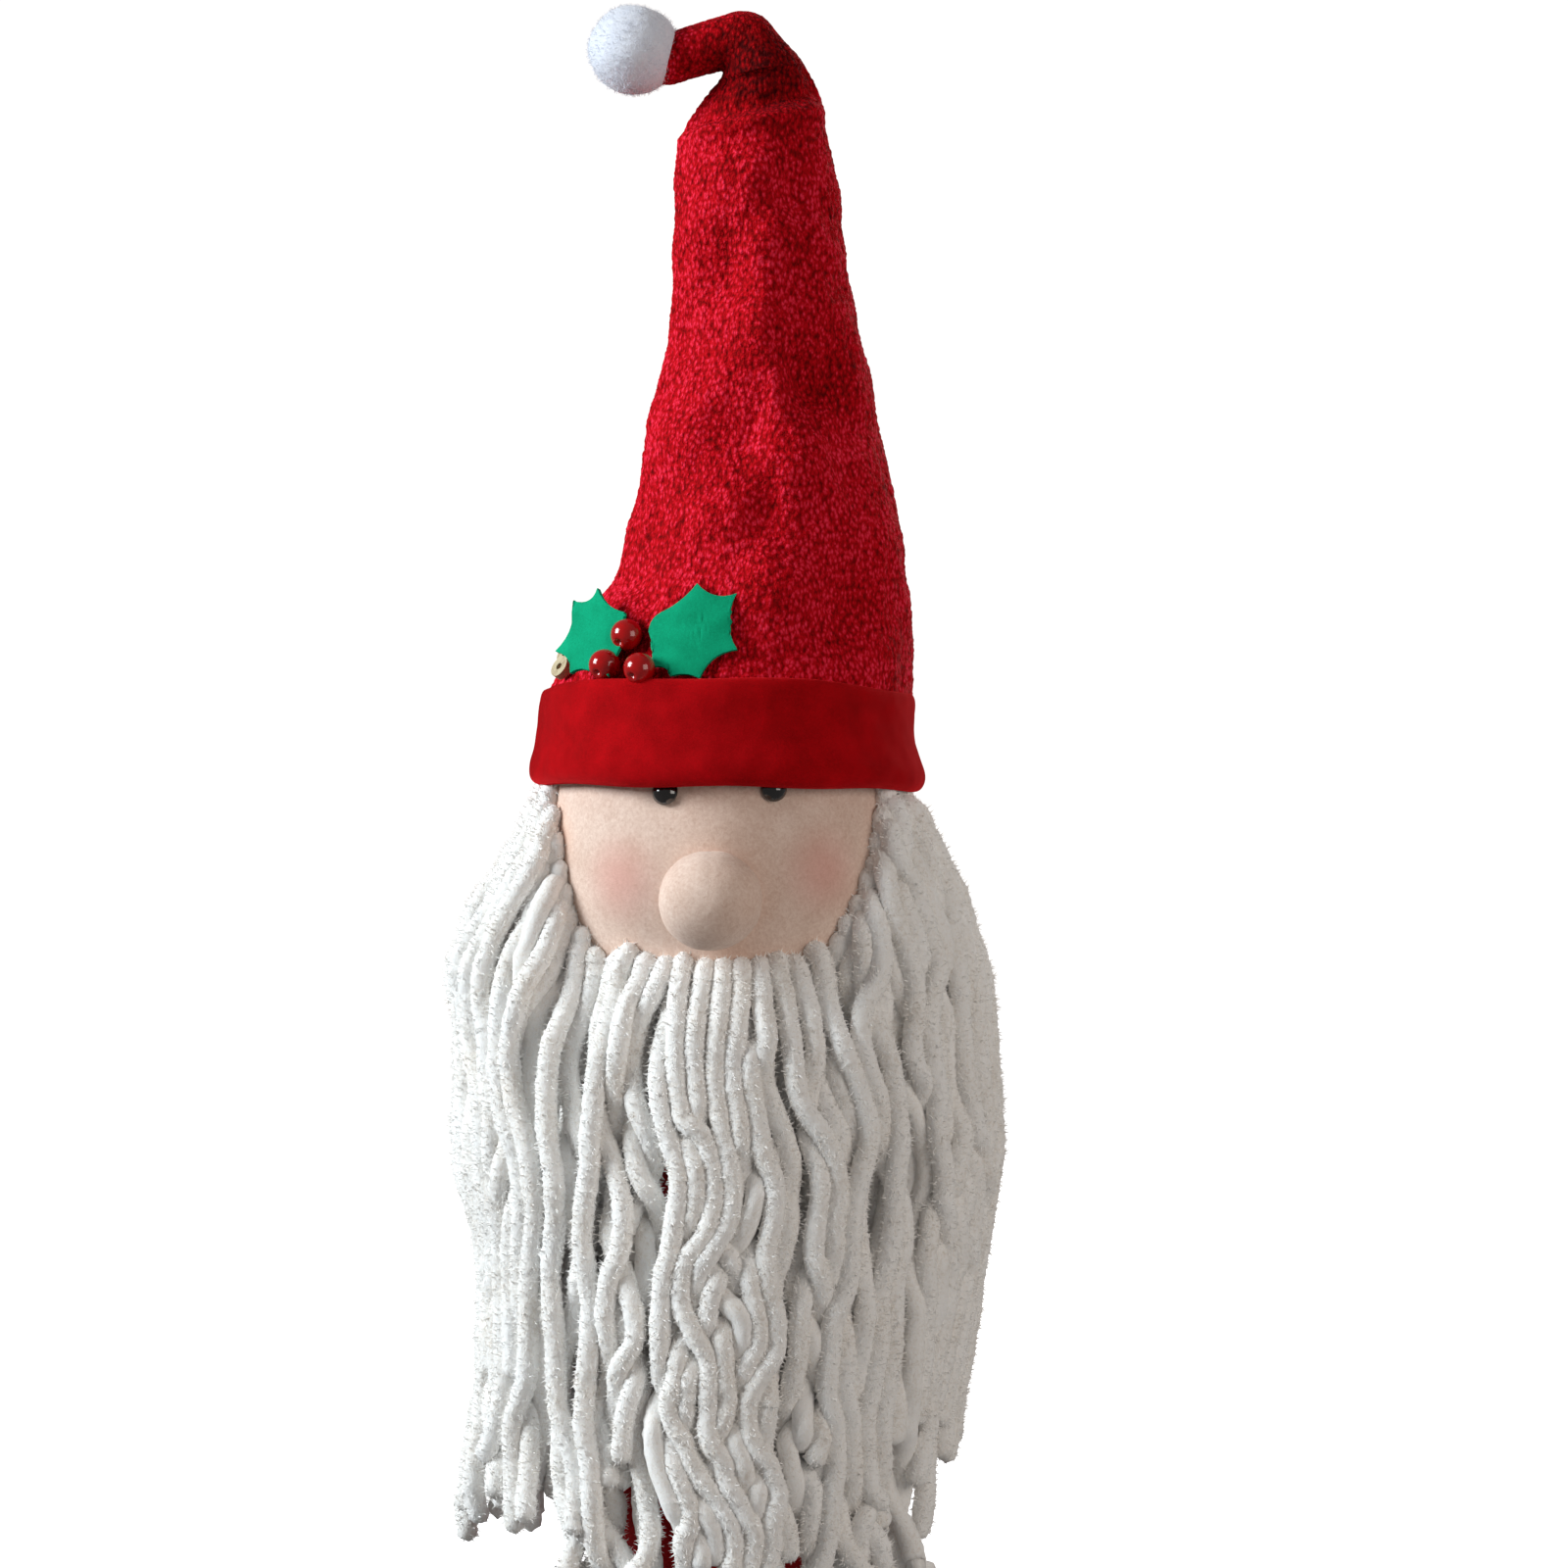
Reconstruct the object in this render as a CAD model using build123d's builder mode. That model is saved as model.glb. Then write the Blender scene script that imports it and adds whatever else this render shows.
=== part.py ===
"""A stuffed tomte gnome with a tall folded hat, a round nose and a long yarn beard.

Millimetres. The figure stands on its flat base at the origin, faces -Y, and +Z is up.
Left and right are the viewer's, so left is -X.
"""
from build123d import *
import os
from math import atan2, cos, radians, sin, sqrt

os.makedirs("parts", exist_ok=True)

# Clearances
nest_gap = 0.2  # between a skin and what is stuffed inside it
lay_gap = 0.3  # between pieces that lie on one another
fringe_gap = 0.5  # between the fixed yarn and the yarn that swings under it

# Cloths
fleece = 2.0  # wall of the body and the head
boucle = 2.2  # wall of the hat
nose_wall = 1.6
felt = 1.2  # holly leaves
backing_felt = 0.9  # strip that the beard is sewn to

# Body: (height, outer radius) from the foot to the neck
panel_radius = 34.0
panel_thickness = 1.6
card_thickness = 2.0
neck_height = 165.7
belly_radius = 46.0
body_rows = [
    (0, panel_radius + nest_gap + fleece),
    (6, 38.2),
    (45, 41.0),
    (95, belly_radius),
    (138, 43.0),
    (neck_height, 33.6),
]
bag_radius = 33.0
bag_height = 27.0
bag_wall = 1.0
bag_round = 8.0

# Head: an egg, cut flat where it meets the body
head_radius = 54.5
head_half_height = 75.0
head_centre = 225.0
head_bottom = neck_height + lay_gap

# Face
nose_radius = 15.3
nose_x = -3.3
nose_z = 209.4
nose_stand = 5.2  # centre of the nose outside the face
eye_radius = 4.1
eye_dome = 2.7
eye_seat = 0.1  # gap under the dome
eye_left = (-17.1, 241.3)
eye_right = (15.6, 242.4)
shank_radius = 1.5
shank_length = 5.0
washer_radius = 5.0
washer_thickness = 1.4
washer_depth = 2.6  # from the face's surface to the washer

# Hat: (height, sideways drift of the centre, outer radius)
hat_base_x = 1.1
hat_bottom = 248.6
hat_rows = [
    (hat_bottom, hat_base_x, 55.3),
    (262, hat_base_x, 54.8),
    (273.8, 1.8, 54.0),
    (280, 3.7, 53.2),
    (292, 7.4, 49.0),
    (307, 11.2, 43.8),
    (332, 12.3, 39.4),
    (364, 12.6, 33.0),
    (388, 12.2, 28.2),
    (412, 11.0, 25.5),
    (436, 9.6, 23.0),
    (446, 10.0, 20.2),
    (453.6, 11.5, 17.2),
    (461.4, 11.0, 12.2),
    (470, 7.6, 10.8),
    (481, 4.2, 9.6),
]
wire_radius = 0.8
wire_gap = 0.15

# Folds of the hat: hinge line on the outer edge, and the slope of the closed pleat
crown_hinge = (29.4, 452.0)
crown_slope = 13.7
crown_give = 8.0  # how much further the crown folds over
tip_hinge = (12.9, 479.4)
tip_slope = 53.1
tip_give = 12.0

# Tip: (x, height of the centre, outer radius), and the pompom on its end
tip_rows = [
    (15, 472.4, 6.6),
    (6, 471.2, 8.2),
    (0, 470.2, 8.7),
    (-8, 468.0, 8.5),
    (-15.6, 465.6, 8.2),
    (-21, 464.6, 7.0),
]
pompom_radius = 14.2
pompom_x = -27.3
pompom_z = 468.3

# Cuff: a folded band round the foot of the hat
cuff_bottom = 243.0
cuff_top = 273.6
cuff_foot_radius = 59.3
cuff_bulge_radius = 60.2
cuff_brim_radius = 56.5
cuff_round = 1.2

# Beard: (height, half width, half depth) of the outside of the yarn
beard_rows = [
    (0, 79.0, 58.0),
    (50, 76.5, 60.0),
    (100, 80.0, 63.0),
    (140, 84.5, 63.0),
    (185, 84.0, 60.5),
    (205, 79.0, 58.0),
    (224, 66.5, 56.8),
    (cuff_bottom, 58.8, 56.2),
]
yarn_radius = 3.3
beard_hollow = belly_radius + 2.0
beard_hinge_height = 174.7
beard_hinge_radius = 49.5
beard_roll = 3.5
fringe_bottom = beard_hinge_height + beard_roll + fringe_gap
side_angle = 95.0  # how far round the head the beard reaches, from the front
lock_gap = 1.6
loop_count = 9
loop_step = 8.0
loop_ring = 49.9
loop_stem = 2.8
chin_half_width = 30.6
# name: (first angle, last angle from the front, height of the ends, most swing)
locks = {
    "beard_centre": (-20.0, 20.0, 3.0, 40.0),
    "beard_front_left": (-55.0, -20.0, 5.0, 40.0),
    "beard_front_right": (20.0, 55.0, 5.0, 40.0),
    "beard_side_left": (-side_angle, -55.0, 14.0, 25.0),
    "beard_side_right": (55.0, side_angle, 14.0, 25.0),
}
swing_clear = 5.0  # degrees left under the fixed yarn at full swing

# Trim on the hat
berry_radius = 4.8
berries = {"berry_top": (-29.1, 288.4), "berry_left": (-35.4, 279.7), "berry_right": (-25.6, 278.9)}
toggle_lobe = 3.4
toggle_hole = 1.1
toggle_pitch = 4.6
toggle_thickness = 2.4


def write(part, name):
    """Label one finished piece and write its file."""
    part.label = name
    export_step(part, f"parts/{name}.step")
    print(f"{name}: {len(part.solids())} solids, {part.volume / 1000:.2f} cm3")


# Turned and lofted forms that several pieces share


def body_form(inset, bottom=0.0, top=neck_height):
    """The body's outside, moved inwards by inset, between two heights."""
    rows = [(radius - inset, height) for height, radius in body_rows]
    with BuildPart() as form:
        with BuildSketch(Plane.XZ):
            with BuildLine():
                wall = Spline(*rows)
                Polyline(wall @ 1, (0, neck_height), (0, 0), wall @ 0)
            make_face()
            with Locations((0, bottom)):
                Rectangle(2 * belly_radius, top - bottom, align=(Align.MIN, Align.MIN), mode=Mode.INTERSECT)
        revolve(axis=Axis.Z)
    return form.part


def head_form(inset, bottom=0.0):
    """The head's egg, moved inwards by inset, above a height."""
    with BuildPart() as form:
        with BuildSketch(Plane.XZ):
            with Locations((0, head_centre)):
                Ellipse(head_radius - inset, head_half_height - inset)
            with Locations((0, bottom)):
                Rectangle(
                    2 * head_radius,
                    2 * (head_centre + head_half_height),
                    align=(Align.MIN, Align.MIN),
                    mode=Mode.INTERSECT,
                )
        revolve(axis=Axis.Z)
    return form.part


def hat_form(inset):
    """The upright hat as one loft of circles, moved inwards by inset."""
    with BuildPart() as form:
        for height, drift, radius in hat_rows:
            with BuildSketch(Plane.XY.offset(height)):
                with Locations((drift, 0)):
                    Circle(radius - inset)
        loft(ruled=True)
    return form.part


def tip_form(inset):
    """The folded tip as a loft of circles along X, moved inwards by inset."""
    with BuildPart() as form:
        for x, height, radius in tip_rows:
            with BuildSketch(Plane(origin=(x, 0, height), x_dir=(0, 1, 0), z_dir=(-1, 0, 0))):
                Circle(radius - inset)
        loft()
    return form.part


def beard_form():
    """Everything inside the outer surface of the beard."""
    with BuildPart() as form:
        for height, half_width, half_depth in beard_rows:
            with BuildSketch(Plane.XY.offset(height)):
                Ellipse(half_width, half_depth)
        loft(ruled=True)
    return form.part


def fold_plane(hinge, slope, lift=0.0):
    """A plane through a fold's hinge line, facing the side that folds over."""
    normal = Vector(-sin(radians(slope)), 0, cos(radians(slope)))
    return Plane(origin=Vector(hinge[0], 0, hinge[1]) + normal * lift, x_dir=(0, 1, 0), z_dir=normal)


crown_seat = fold_plane(crown_hinge, crown_slope)
crown_foot = fold_plane(crown_hinge, crown_slope - crown_give, lay_gap)
tip_seat = fold_plane(tip_hinge, tip_slope)
tip_foot = fold_plane(tip_hinge, tip_slope - tip_give, lay_gap)


def hat_at(height):
    """Centre drift and outer radius of the hat at a height, between its rows."""
    for (z0, x0, r0), (z1, x1, r1) in zip(hat_rows, hat_rows[1:]):
        if z0 <= height <= z1:
            share = (height - z0) / (z1 - z0)
            return x0 + share * (x1 - x0), r0 + share * (r1 - r0)


def face_plane(x, z):
    """A plane on the face at x and z, facing straight out of it."""
    ring = head_radius * sqrt(1 - ((z - head_centre) / head_half_height) ** 2)
    y = -sqrt(ring**2 - x**2)
    out = Vector(x / head_radius**2, y / head_radius**2, (z - head_centre) / head_half_height**2)
    return Plane(origin=(x, y, z), z_dir=out)


def hat_plane(x, z, turn=None):
    """A plane on the front of the hat at x and z, turned a set angle or facing out."""
    step = 4.0
    drift, radius = hat_at(z)
    low_drift, low_radius = hat_at(z - step)
    high_drift, high_radius = hat_at(z + step)
    side = (x - drift) / radius
    y = -radius * sqrt(1 - side**2)
    facing = radians(turn) if turn is not None else atan2(side, sqrt(1 - side**2))
    taper = (low_radius - high_radius) / (2 * step)
    shift = (low_drift - high_drift) / (2 * step)
    lean = atan2(taper + shift * side, 1)
    out = Vector(sin(facing) * cos(lean), -cos(facing) * cos(lean), sin(lean))
    level = Vector(cos(facing), sin(facing), 0)
    return Plane(origin=(x, y, z), x_dir=level, z_dir=out)


# Body: sack, base and what weighs it down

with BuildPart() as body_sack:
    add(body_form(0))
    add(body_form(fleece), mode=Mode.SUBTRACT)
write(body_sack.part, "body_sack")

with BuildPart() as base_panel:
    with BuildSketch():
        Circle(panel_radius)
    extrude(amount=panel_thickness)
write(base_panel.part, "base_panel")

card_foot = panel_thickness + nest_gap
with BuildPart() as base_card:
    with BuildSketch(Plane.XY.offset(card_foot)):
        Circle(panel_radius - nest_gap)
    extrude(amount=card_thickness)
write(base_card.part, "base_card")

bag_foot = card_foot + card_thickness + nest_gap


def bag_form(inset):
    """The weight bag's rounded drum, moved inwards by inset."""
    with BuildPart() as form:
        with BuildSketch(Plane.XZ):
            with Locations((0, bag_foot + inset)):
                RectangleRounded(
                    2 * (bag_radius - inset),
                    bag_height - 2 * inset,
                    bag_round - inset,
                    align=(Align.CENTER, Align.MIN),
                )
            with Locations((0, bag_foot)):
                Rectangle(bag_radius, bag_height, align=(Align.MIN, Align.MIN), mode=Mode.INTERSECT)
        revolve(axis=Axis.Z)
    return form.part


with BuildPart() as weight_bag:
    add(bag_form(0))
    add(bag_form(bag_wall), mode=Mode.SUBTRACT)
write(weight_bag.part, "weight_bag")

weight_sand = bag_form(bag_wall + nest_gap)
write(weight_sand, "weight_sand")

filling_foot = bag_foot + bag_height + nest_gap
body_filling = body_form(fleece + nest_gap, bottom=filling_foot)
write(body_filling, "body_filling")

# Head and face

head_outside = head_form(0)
head_cleared = head_form(-lay_gap)
eye_planes = {"left": face_plane(*eye_left), "right": face_plane(*eye_right)}

with BuildPart() as head_skin:
    add(head_form(0, head_bottom))
    add(head_form(fleece, head_bottom), mode=Mode.SUBTRACT)
    for plane in eye_planes.values():
        with Locations(plane):
            Cylinder(shank_radius + nest_gap, 4 * fleece, mode=Mode.SUBTRACT)
write(head_skin.part, "head_skin")

with BuildPart() as head_filling:
    add(head_form(fleece + nest_gap, head_bottom))
    for plane in eye_planes.values():
        with Locations(plane):
            Cylinder(washer_radius + nest_gap, 2 * (shank_length + 2 * nest_gap), mode=Mode.SUBTRACT)
write(head_filling.part, "head_filling")

bead_radius = (eye_radius**2 + eye_dome**2) / (2 * eye_dome)

for side, plane in eye_planes.items():
    with BuildPart() as eye:
        with Locations(plane.offset(eye_seat + eye_dome - bead_radius)):
            Sphere(bead_radius)
        split(bisect_by=plane.offset(eye_seat), keep=Keep.TOP)
        with Locations(plane.offset(eye_seat)):
            Cylinder(shank_radius, shank_length, align=(Align.CENTER, Align.CENTER, Align.MAX))
    write(eye.part, f"eye_{side}")
    with BuildPart() as washer:
        with BuildSketch(plane.offset(-washer_depth)):
            Circle(washer_radius)
            Circle(shank_radius + 0.1, mode=Mode.SUBTRACT)
        extrude(amount=-washer_thickness)
    write(washer.part, f"eye_washer_{side}")

nose_centre = face_plane(nose_x, nose_z).offset(nose_stand).origin
nose_seat = head_form(-nest_gap)

with BuildPart() as nose_skin:
    with Locations(nose_centre):
        Sphere(nose_radius)
        Sphere(nose_radius - nose_wall, mode=Mode.SUBTRACT)
    add(nose_seat, mode=Mode.SUBTRACT)
write(nose_skin.part, "nose_skin")

with BuildPart() as nose_filling:
    with Locations(nose_centre):
        Sphere(nose_radius - nose_wall - nest_gap)
    add(nose_seat, mode=Mode.SUBTRACT)
write(nose_filling.part, "nose_filling")

# Hat: cloth, filling and wire, in three lengths that meet at two folds

pompom_centre = (pompom_x, 0, pompom_z)
hat_outside = hat_form(0)
hat_lining = hat_form(boucle)
hat_core = hat_form(boucle + nest_gap)
tip_core = tip_form(boucle + nest_gap)

wires = {
    "hat": ((12.0, 0, 303.0), (12.0, 0, 444.0)),
    "crown": ((12.0, 0, 454.5), (9.6, 0, 470.0)),
    "tip": ((2.5, 0, 471.2), (-10.5, 0, 467.2)),
}


def wire_form(name, radius):
    """A straight length of the wire that holds the hat's folds."""
    start, end = wires[name]
    run = Vector(end) - Vector(start)
    with BuildPart() as form:
        with BuildSketch(Plane(origin=start, z_dir=run)):
            Circle(radius)
        extrude(amount=run.length)
    return form.part


for name in wires:
    write(wire_form(name, wire_radius), f"{name}_wire")

with BuildPart() as hat_cloth:
    add(hat_outside)
    add(hat_lining, mode=Mode.SUBTRACT)
    split(bisect_by=crown_seat, keep=Keep.BOTTOM)
write(hat_cloth.part, "hat_cloth")

with BuildPart() as hat_filling:
    add(hat_core)
    split(bisect_by=crown_seat, keep=Keep.BOTTOM)
    add(head_cleared, mode=Mode.SUBTRACT)
    add(wire_form("hat", wire_radius + wire_gap), mode=Mode.SUBTRACT)
write(hat_filling.part, "hat_filling")

with BuildPart() as crown_cloth:
    add(hat_outside)
    add(hat_lining, mode=Mode.SUBTRACT)
    split(bisect_by=crown_foot, keep=Keep.TOP)
    split(bisect_by=tip_seat, keep=Keep.BOTTOM)
write(crown_cloth.part, "crown_cloth")

with BuildPart() as crown_filling:
    add(hat_core)
    split(bisect_by=crown_foot, keep=Keep.TOP)
    split(bisect_by=tip_seat, keep=Keep.BOTTOM)
    add(wire_form("crown", wire_radius + wire_gap), mode=Mode.SUBTRACT)
write(crown_filling.part, "crown_filling")

with BuildPart() as pompom_room:
    with Locations(pompom_centre):
        Sphere(pompom_radius + nest_gap)

with BuildPart() as tip_cloth:
    add(tip_form(0))
    add(tip_form(boucle), mode=Mode.SUBTRACT)
    split(bisect_by=tip_foot, keep=Keep.TOP)
    add(pompom_room.part, mode=Mode.SUBTRACT)
write(tip_cloth.part, "tip_cloth")

with BuildPart() as tip_filling:
    add(tip_core)
    split(bisect_by=tip_foot, keep=Keep.TOP)
    add(pompom_room.part, mode=Mode.SUBTRACT)
    add(wire_form("tip", wire_radius + wire_gap), mode=Mode.SUBTRACT)
write(tip_filling.part, "tip_filling")

with BuildPart() as pompom:
    with Locations(pompom_centre):
        Sphere(pompom_radius)
write(pompom.part, "pompom")

cuff_inner = hat_rows[0][2] + lay_gap
brim_drift, brim_radius = hat_at(cuff_top)
cuff_inner_top = brim_radius + abs(brim_drift - hat_base_x) + lay_gap

with BuildPart() as hat_cuff:
    with BuildSketch(Plane.XZ) as cuff_section:
        with BuildLine():
            outside = Spline(
                (hat_base_x + cuff_foot_radius, cuff_bottom),
                (hat_base_x + cuff_bulge_radius, cuff_bottom + 7),
                (hat_base_x + cuff_brim_radius + 1.2, cuff_top - 8),
                (hat_base_x + cuff_brim_radius, cuff_top),
            )
            Polyline(
                outside @ 1,
                (hat_base_x + cuff_inner_top, cuff_top),
                (hat_base_x + cuff_inner, hat_bottom),
                (hat_base_x + cuff_inner, cuff_bottom),
                outside @ 0,
            )
        make_face()
        fillet(cuff_section.vertices().group_by(Axis.Y)[0], cuff_round)
    revolve(axis=Axis((hat_base_x, 0, 0), (0, 0, 1)))
write(hat_cuff.part, "hat_cuff")

# Beard: yarn fixed round the face, and the locks that swing from it

beard_outside = beard_form()
cheek_edges = {
    "left": [(-50, cuff_bottom), (-47.5, 220), (-44.5, 203), (-36, 191), (-chin_half_width, 188)],
    "right": [(46, cuff_bottom), (44, 219), (36, 203), (32.5, 195), (chin_half_width, 190)],
}
cheek_top = cuff_bottom - lay_gap
beard_back = 7.0

for side, edge in cheek_edges.items():
    sign = -1 if side == "left" else 1
    far = sign * (beard_rows[3][1] + 10)
    with BuildPart() as cheek:
        with BuildSketch(Plane.XZ.offset(-beard_back)):
            with BuildLine():
                Polyline(
                    *edge,
                    (sign * chin_half_width, fringe_bottom),
                    (far, fringe_bottom),
                    (far, cuff_bottom),
                    edge[0],
                )
            make_face()
        extrude(amount=beard_back + beard_rows[3][2] + 10)
        add(beard_outside, mode=Mode.INTERSECT)
        split(bisect_by=Plane.XY.offset(cheek_top), keep=Keep.BOTTOM)
        add(head_cleared, mode=Mode.SUBTRACT)
    write(cheek.part, f"beard_cheek_{side}")

with BuildPart() as beard_loops:
    for index in range(loop_count):
        angle = radians((index - (loop_count - 1) / 2) * loop_step)
        foot = Plane(origin=(loop_ring * sin(angle), -loop_ring * cos(angle), fringe_bottom))
        with Locations(foot):
            Cylinder(yarn_radius, loop_stem, align=(Align.CENTER, Align.CENTER, Align.MIN))
        with Locations(foot.offset(loop_stem)):
            Sphere(yarn_radius)
write(beard_loops.part, "beard_loops")

with BuildPart() as beard_backing:
    add(head_form(-lay_gap - backing_felt))
    add(head_cleared, mode=Mode.SUBTRACT)
    with Locations((0, -head_radius, fringe_bottom - 1)):
        Box(2 * (chin_half_width - nest_gap), head_radius, 12, mode=Mode.INTERSECT)
write(beard_backing.part, "beard_backing")

for name, (first, last, foot_height, swing) in locks.items():
    middle = radians((first + last) / 2)
    half = radians((last - first) / 2)
    outward = Vector(sin(middle), -cos(middle), 0)
    along = Vector(cos(middle), sin(middle), 0)
    hinge = outward * beard_hinge_radius + Vector(0, 0, beard_hinge_height)
    droop = radians(swing + swing_clear)
    under_swing = Plane(origin=hinge, x_dir=along, z_dir=outward * sin(droop) + Vector(0, 0, cos(droop)))
    apex = outward * (lock_gap / 2 / sin(half))
    reach = 2 * beard_rows[3][1]
    corners = [apex]
    for angle in (middle - half, middle + half):
        corners.append(apex + Vector(sin(angle), -cos(angle), 0) * reach)
    with BuildPart() as lock:
        add(beard_outside)
        split(bisect_by=Plane.XY.offset(beard_hinge_height), keep=Keep.BOTTOM)
        with Locations((0, 0, beard_hinge_height / 2)):
            Cylinder(beard_hollow, beard_hinge_height, mode=Mode.SUBTRACT)
        split(bisect_by=under_swing, keep=Keep.BOTTOM)
        with BuildSketch(Plane(origin=hinge - along * reach / 2, x_dir=outward, z_dir=along)):
            Circle(beard_roll)
        extrude(amount=reach)
        with BuildSketch(Plane.XY.offset(foot_height)):
            with BuildLine():
                Polyline(*[(corner.X, corner.Y) for corner in corners], close=True)
            make_face()
        extrude(amount=beard_hinge_height, mode=Mode.INTERSECT)
    write(lock.part, name)
    print(f"  hinge at {tuple(round(v, 2) for v in hinge)}, outward {tuple(round(v, 4) for v in outward)}")

# Trim: holly, berries and a small toggle

leaf_length = 33.0
leaf_half_width = 12.6
leaf_rows = [(0.0, 0.22), (0.22, 0.86), (0.48, 0.52), (0.70, 1.0), (0.84, 0.42)]  # shares of length and width
# where a leaf touches the hat, how it faces and leans, and its middle from that point
leaves = {
    "left": {"at": (-31.0, 286.0), "turn": -42.0, "lean": 142.0, "middle": 11.0},
    "right": {"at": (-9.5, 288.5), "turn": -17.0, "lean": 36.0, "middle": 0.0},
}


def leaf_face():
    """Outline of a holly leaf along +X: spines joined by hollow arcs."""
    upper = [(share * leaf_length - leaf_length / 2, width * leaf_half_width) for share, width in leaf_rows]
    tip = (leaf_length / 2, 0.0)
    spines = [upper[0], upper[1], upper[3], tip]
    hollows = [None, upper[2], upper[4]]
    with BuildSketch() as face:
        with BuildLine():
            Line((upper[0][0], 0), spines[0])
            Line(spines[0], spines[1])
            ThreePointArc(spines[1], hollows[1], spines[2])
            ThreePointArc(spines[2], hollows[2], tip)
            mirror(about=Plane.XZ)
        make_face()
    return face.sketch


berry_spots = {}
for name, (x, z) in berries.items():
    berry_spots[name] = hat_plane(x, z).offset(berry_radius + lay_gap).origin
    with BuildPart() as berry:
        with Locations(berry_spots[name]):
            Sphere(berry_radius)
    write(berry.part, name)

toggle_plane = hat_plane(-46.6, 279.9, turn=-52.0).offset(0.9)
with BuildPart() as wood_toggle:
    with BuildSketch(toggle_plane):
        with Locations((0, toggle_pitch / 2), (0, -toggle_pitch / 2)):
            Circle(toggle_lobe)
        with Locations((0, toggle_pitch / 2), (0, -toggle_pitch / 2)):
            Circle(toggle_hole, mode=Mode.SUBTRACT)
    extrude(amount=toggle_thickness)
    add(hat_outside, mode=Mode.SUBTRACT)
write(wood_toggle.part, "wood_toggle")

for side, leaf in leaves.items():
    seat = hat_plane(*leaf["at"], turn=leaf["turn"]).offset(lay_gap)
    lean = radians(leaf["lean"])
    vein = seat.x_dir * cos(lean) + seat.y_dir * sin(lean)
    with BuildPart() as holly_leaf:
        with BuildSketch(Plane(origin=seat.origin, x_dir=vein, z_dir=seat.z_dir)):
            with Locations((leaf["middle"], 0)):
                add(leaf_face())
        extrude(amount=felt)
        for spot in berry_spots.values():
            with Locations(spot):
                Sphere(berry_radius + lay_gap, mode=Mode.SUBTRACT)
        add(hat_outside, mode=Mode.SUBTRACT)
    write(holly_leaf.part, f"holly_leaf_{side}")
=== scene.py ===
# %% [markdown]
# # A stuffed gnome with a yarn beard
# The frame holds the solid model: its bodies, joints and hidden parts. This lesson adds what is
# seen: a boucle hat that folds over, a felt cuff, a fleece face, and a beard of chenille yarn.
# All lengths are in metres; MM turns a size in millimetres into metres.

# %% Frame and helpers' modules
from math import atan2, cos, pi, radians, sin, sqrt

import bmesh
import bpy
import numpy as np
from mathutils import Matrix, Vector, noise


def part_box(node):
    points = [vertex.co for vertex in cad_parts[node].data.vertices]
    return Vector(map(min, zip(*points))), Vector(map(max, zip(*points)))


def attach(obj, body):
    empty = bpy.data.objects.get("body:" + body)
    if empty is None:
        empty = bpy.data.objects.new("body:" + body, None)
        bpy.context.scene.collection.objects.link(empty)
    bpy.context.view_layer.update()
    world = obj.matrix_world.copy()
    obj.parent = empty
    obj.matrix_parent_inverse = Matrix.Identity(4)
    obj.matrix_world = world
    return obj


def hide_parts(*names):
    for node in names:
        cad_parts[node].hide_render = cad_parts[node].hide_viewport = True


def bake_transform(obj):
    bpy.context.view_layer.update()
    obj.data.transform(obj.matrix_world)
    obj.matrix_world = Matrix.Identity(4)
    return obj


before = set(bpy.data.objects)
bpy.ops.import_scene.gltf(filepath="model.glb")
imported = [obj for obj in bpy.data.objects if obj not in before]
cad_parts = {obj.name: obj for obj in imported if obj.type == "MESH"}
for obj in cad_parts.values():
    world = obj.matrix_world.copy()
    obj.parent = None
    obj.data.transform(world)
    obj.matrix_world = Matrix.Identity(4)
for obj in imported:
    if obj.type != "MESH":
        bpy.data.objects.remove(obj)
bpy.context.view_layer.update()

MM = 0.001

# %% [markdown]
# ## Camera, light and floor
# A doll like this is shown level with its middle, from far enough away that its height is not
# foreshortened. A long lens does that here. The light is a large window on the left, so the right
# side falls into soft shade, and a weak lamp behind keeps the back readable. The floor is white
# paper and the room beyond it is white to the camera, which leaves no horizon.

# %% Camera
scene = bpy.context.scene
camera_data = bpy.data.cameras.new("camera")
camera_data.lens = 180
camera_data.sensor_width = 36
camera = bpy.data.objects.new("camera", camera_data)
view_x, view_far, view_z = 18.6, 2400, 243.6
camera.location = (view_x * MM, -view_far * MM, view_z * MM)
camera.rotation_euler = (radians(90), 0, 0)
scene.collection.objects.link(camera)
scene.camera = camera
scene.view_settings.view_transform = "Standard"
print("camera", [round(v, 3) for v in camera.location])


# %% Lights
def window_light(name, place, aim, size, power, colour):
    """A soft rectangular light at place that faces aim."""
    data = bpy.data.lights.new(name, "AREA")
    data.size = size
    data.energy = power
    data.color = colour
    lamp = bpy.data.objects.new(name, data)
    lamp.location = place
    lamp.rotation_euler = (Vector(aim) - Vector(place)).to_track_quat("-Z", "Y").to_euler()
    scene.collection.objects.link(lamp)


window_light("window", (-2.05, -0.46, 1.12), (0, 0, 0.24), 1.0, 72, (0.89, 0.96, 1.0))
window_light("room", (1.7, -1.6, 0.6), (0, 0, 0.2), 1.4, 20, (1.0, 0.92, 0.85))
window_light("far wall", (0.9, 2.1, 1.1), (0, 0, 0.24), 1.6, 26, (1.0, 0.97, 0.94))
world = bpy.data.worlds.new("room air")
world.use_nodes = True
background = world.node_tree.nodes["Background"]
background.inputs["Color"].default_value = (1.0, 0.985, 0.97, 1)
room_ray = world.node_tree.nodes.new("ShaderNodeLightPath")
room_strength = world.node_tree.nodes.new("ShaderNodeMapRange")
room_strength.inputs["To Min"].default_value = 0.17
room_strength.inputs["To Max"].default_value = 1.1
world.node_tree.links.new(room_ray.outputs["Is Camera Ray"], room_strength.inputs["Value"])
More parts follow.
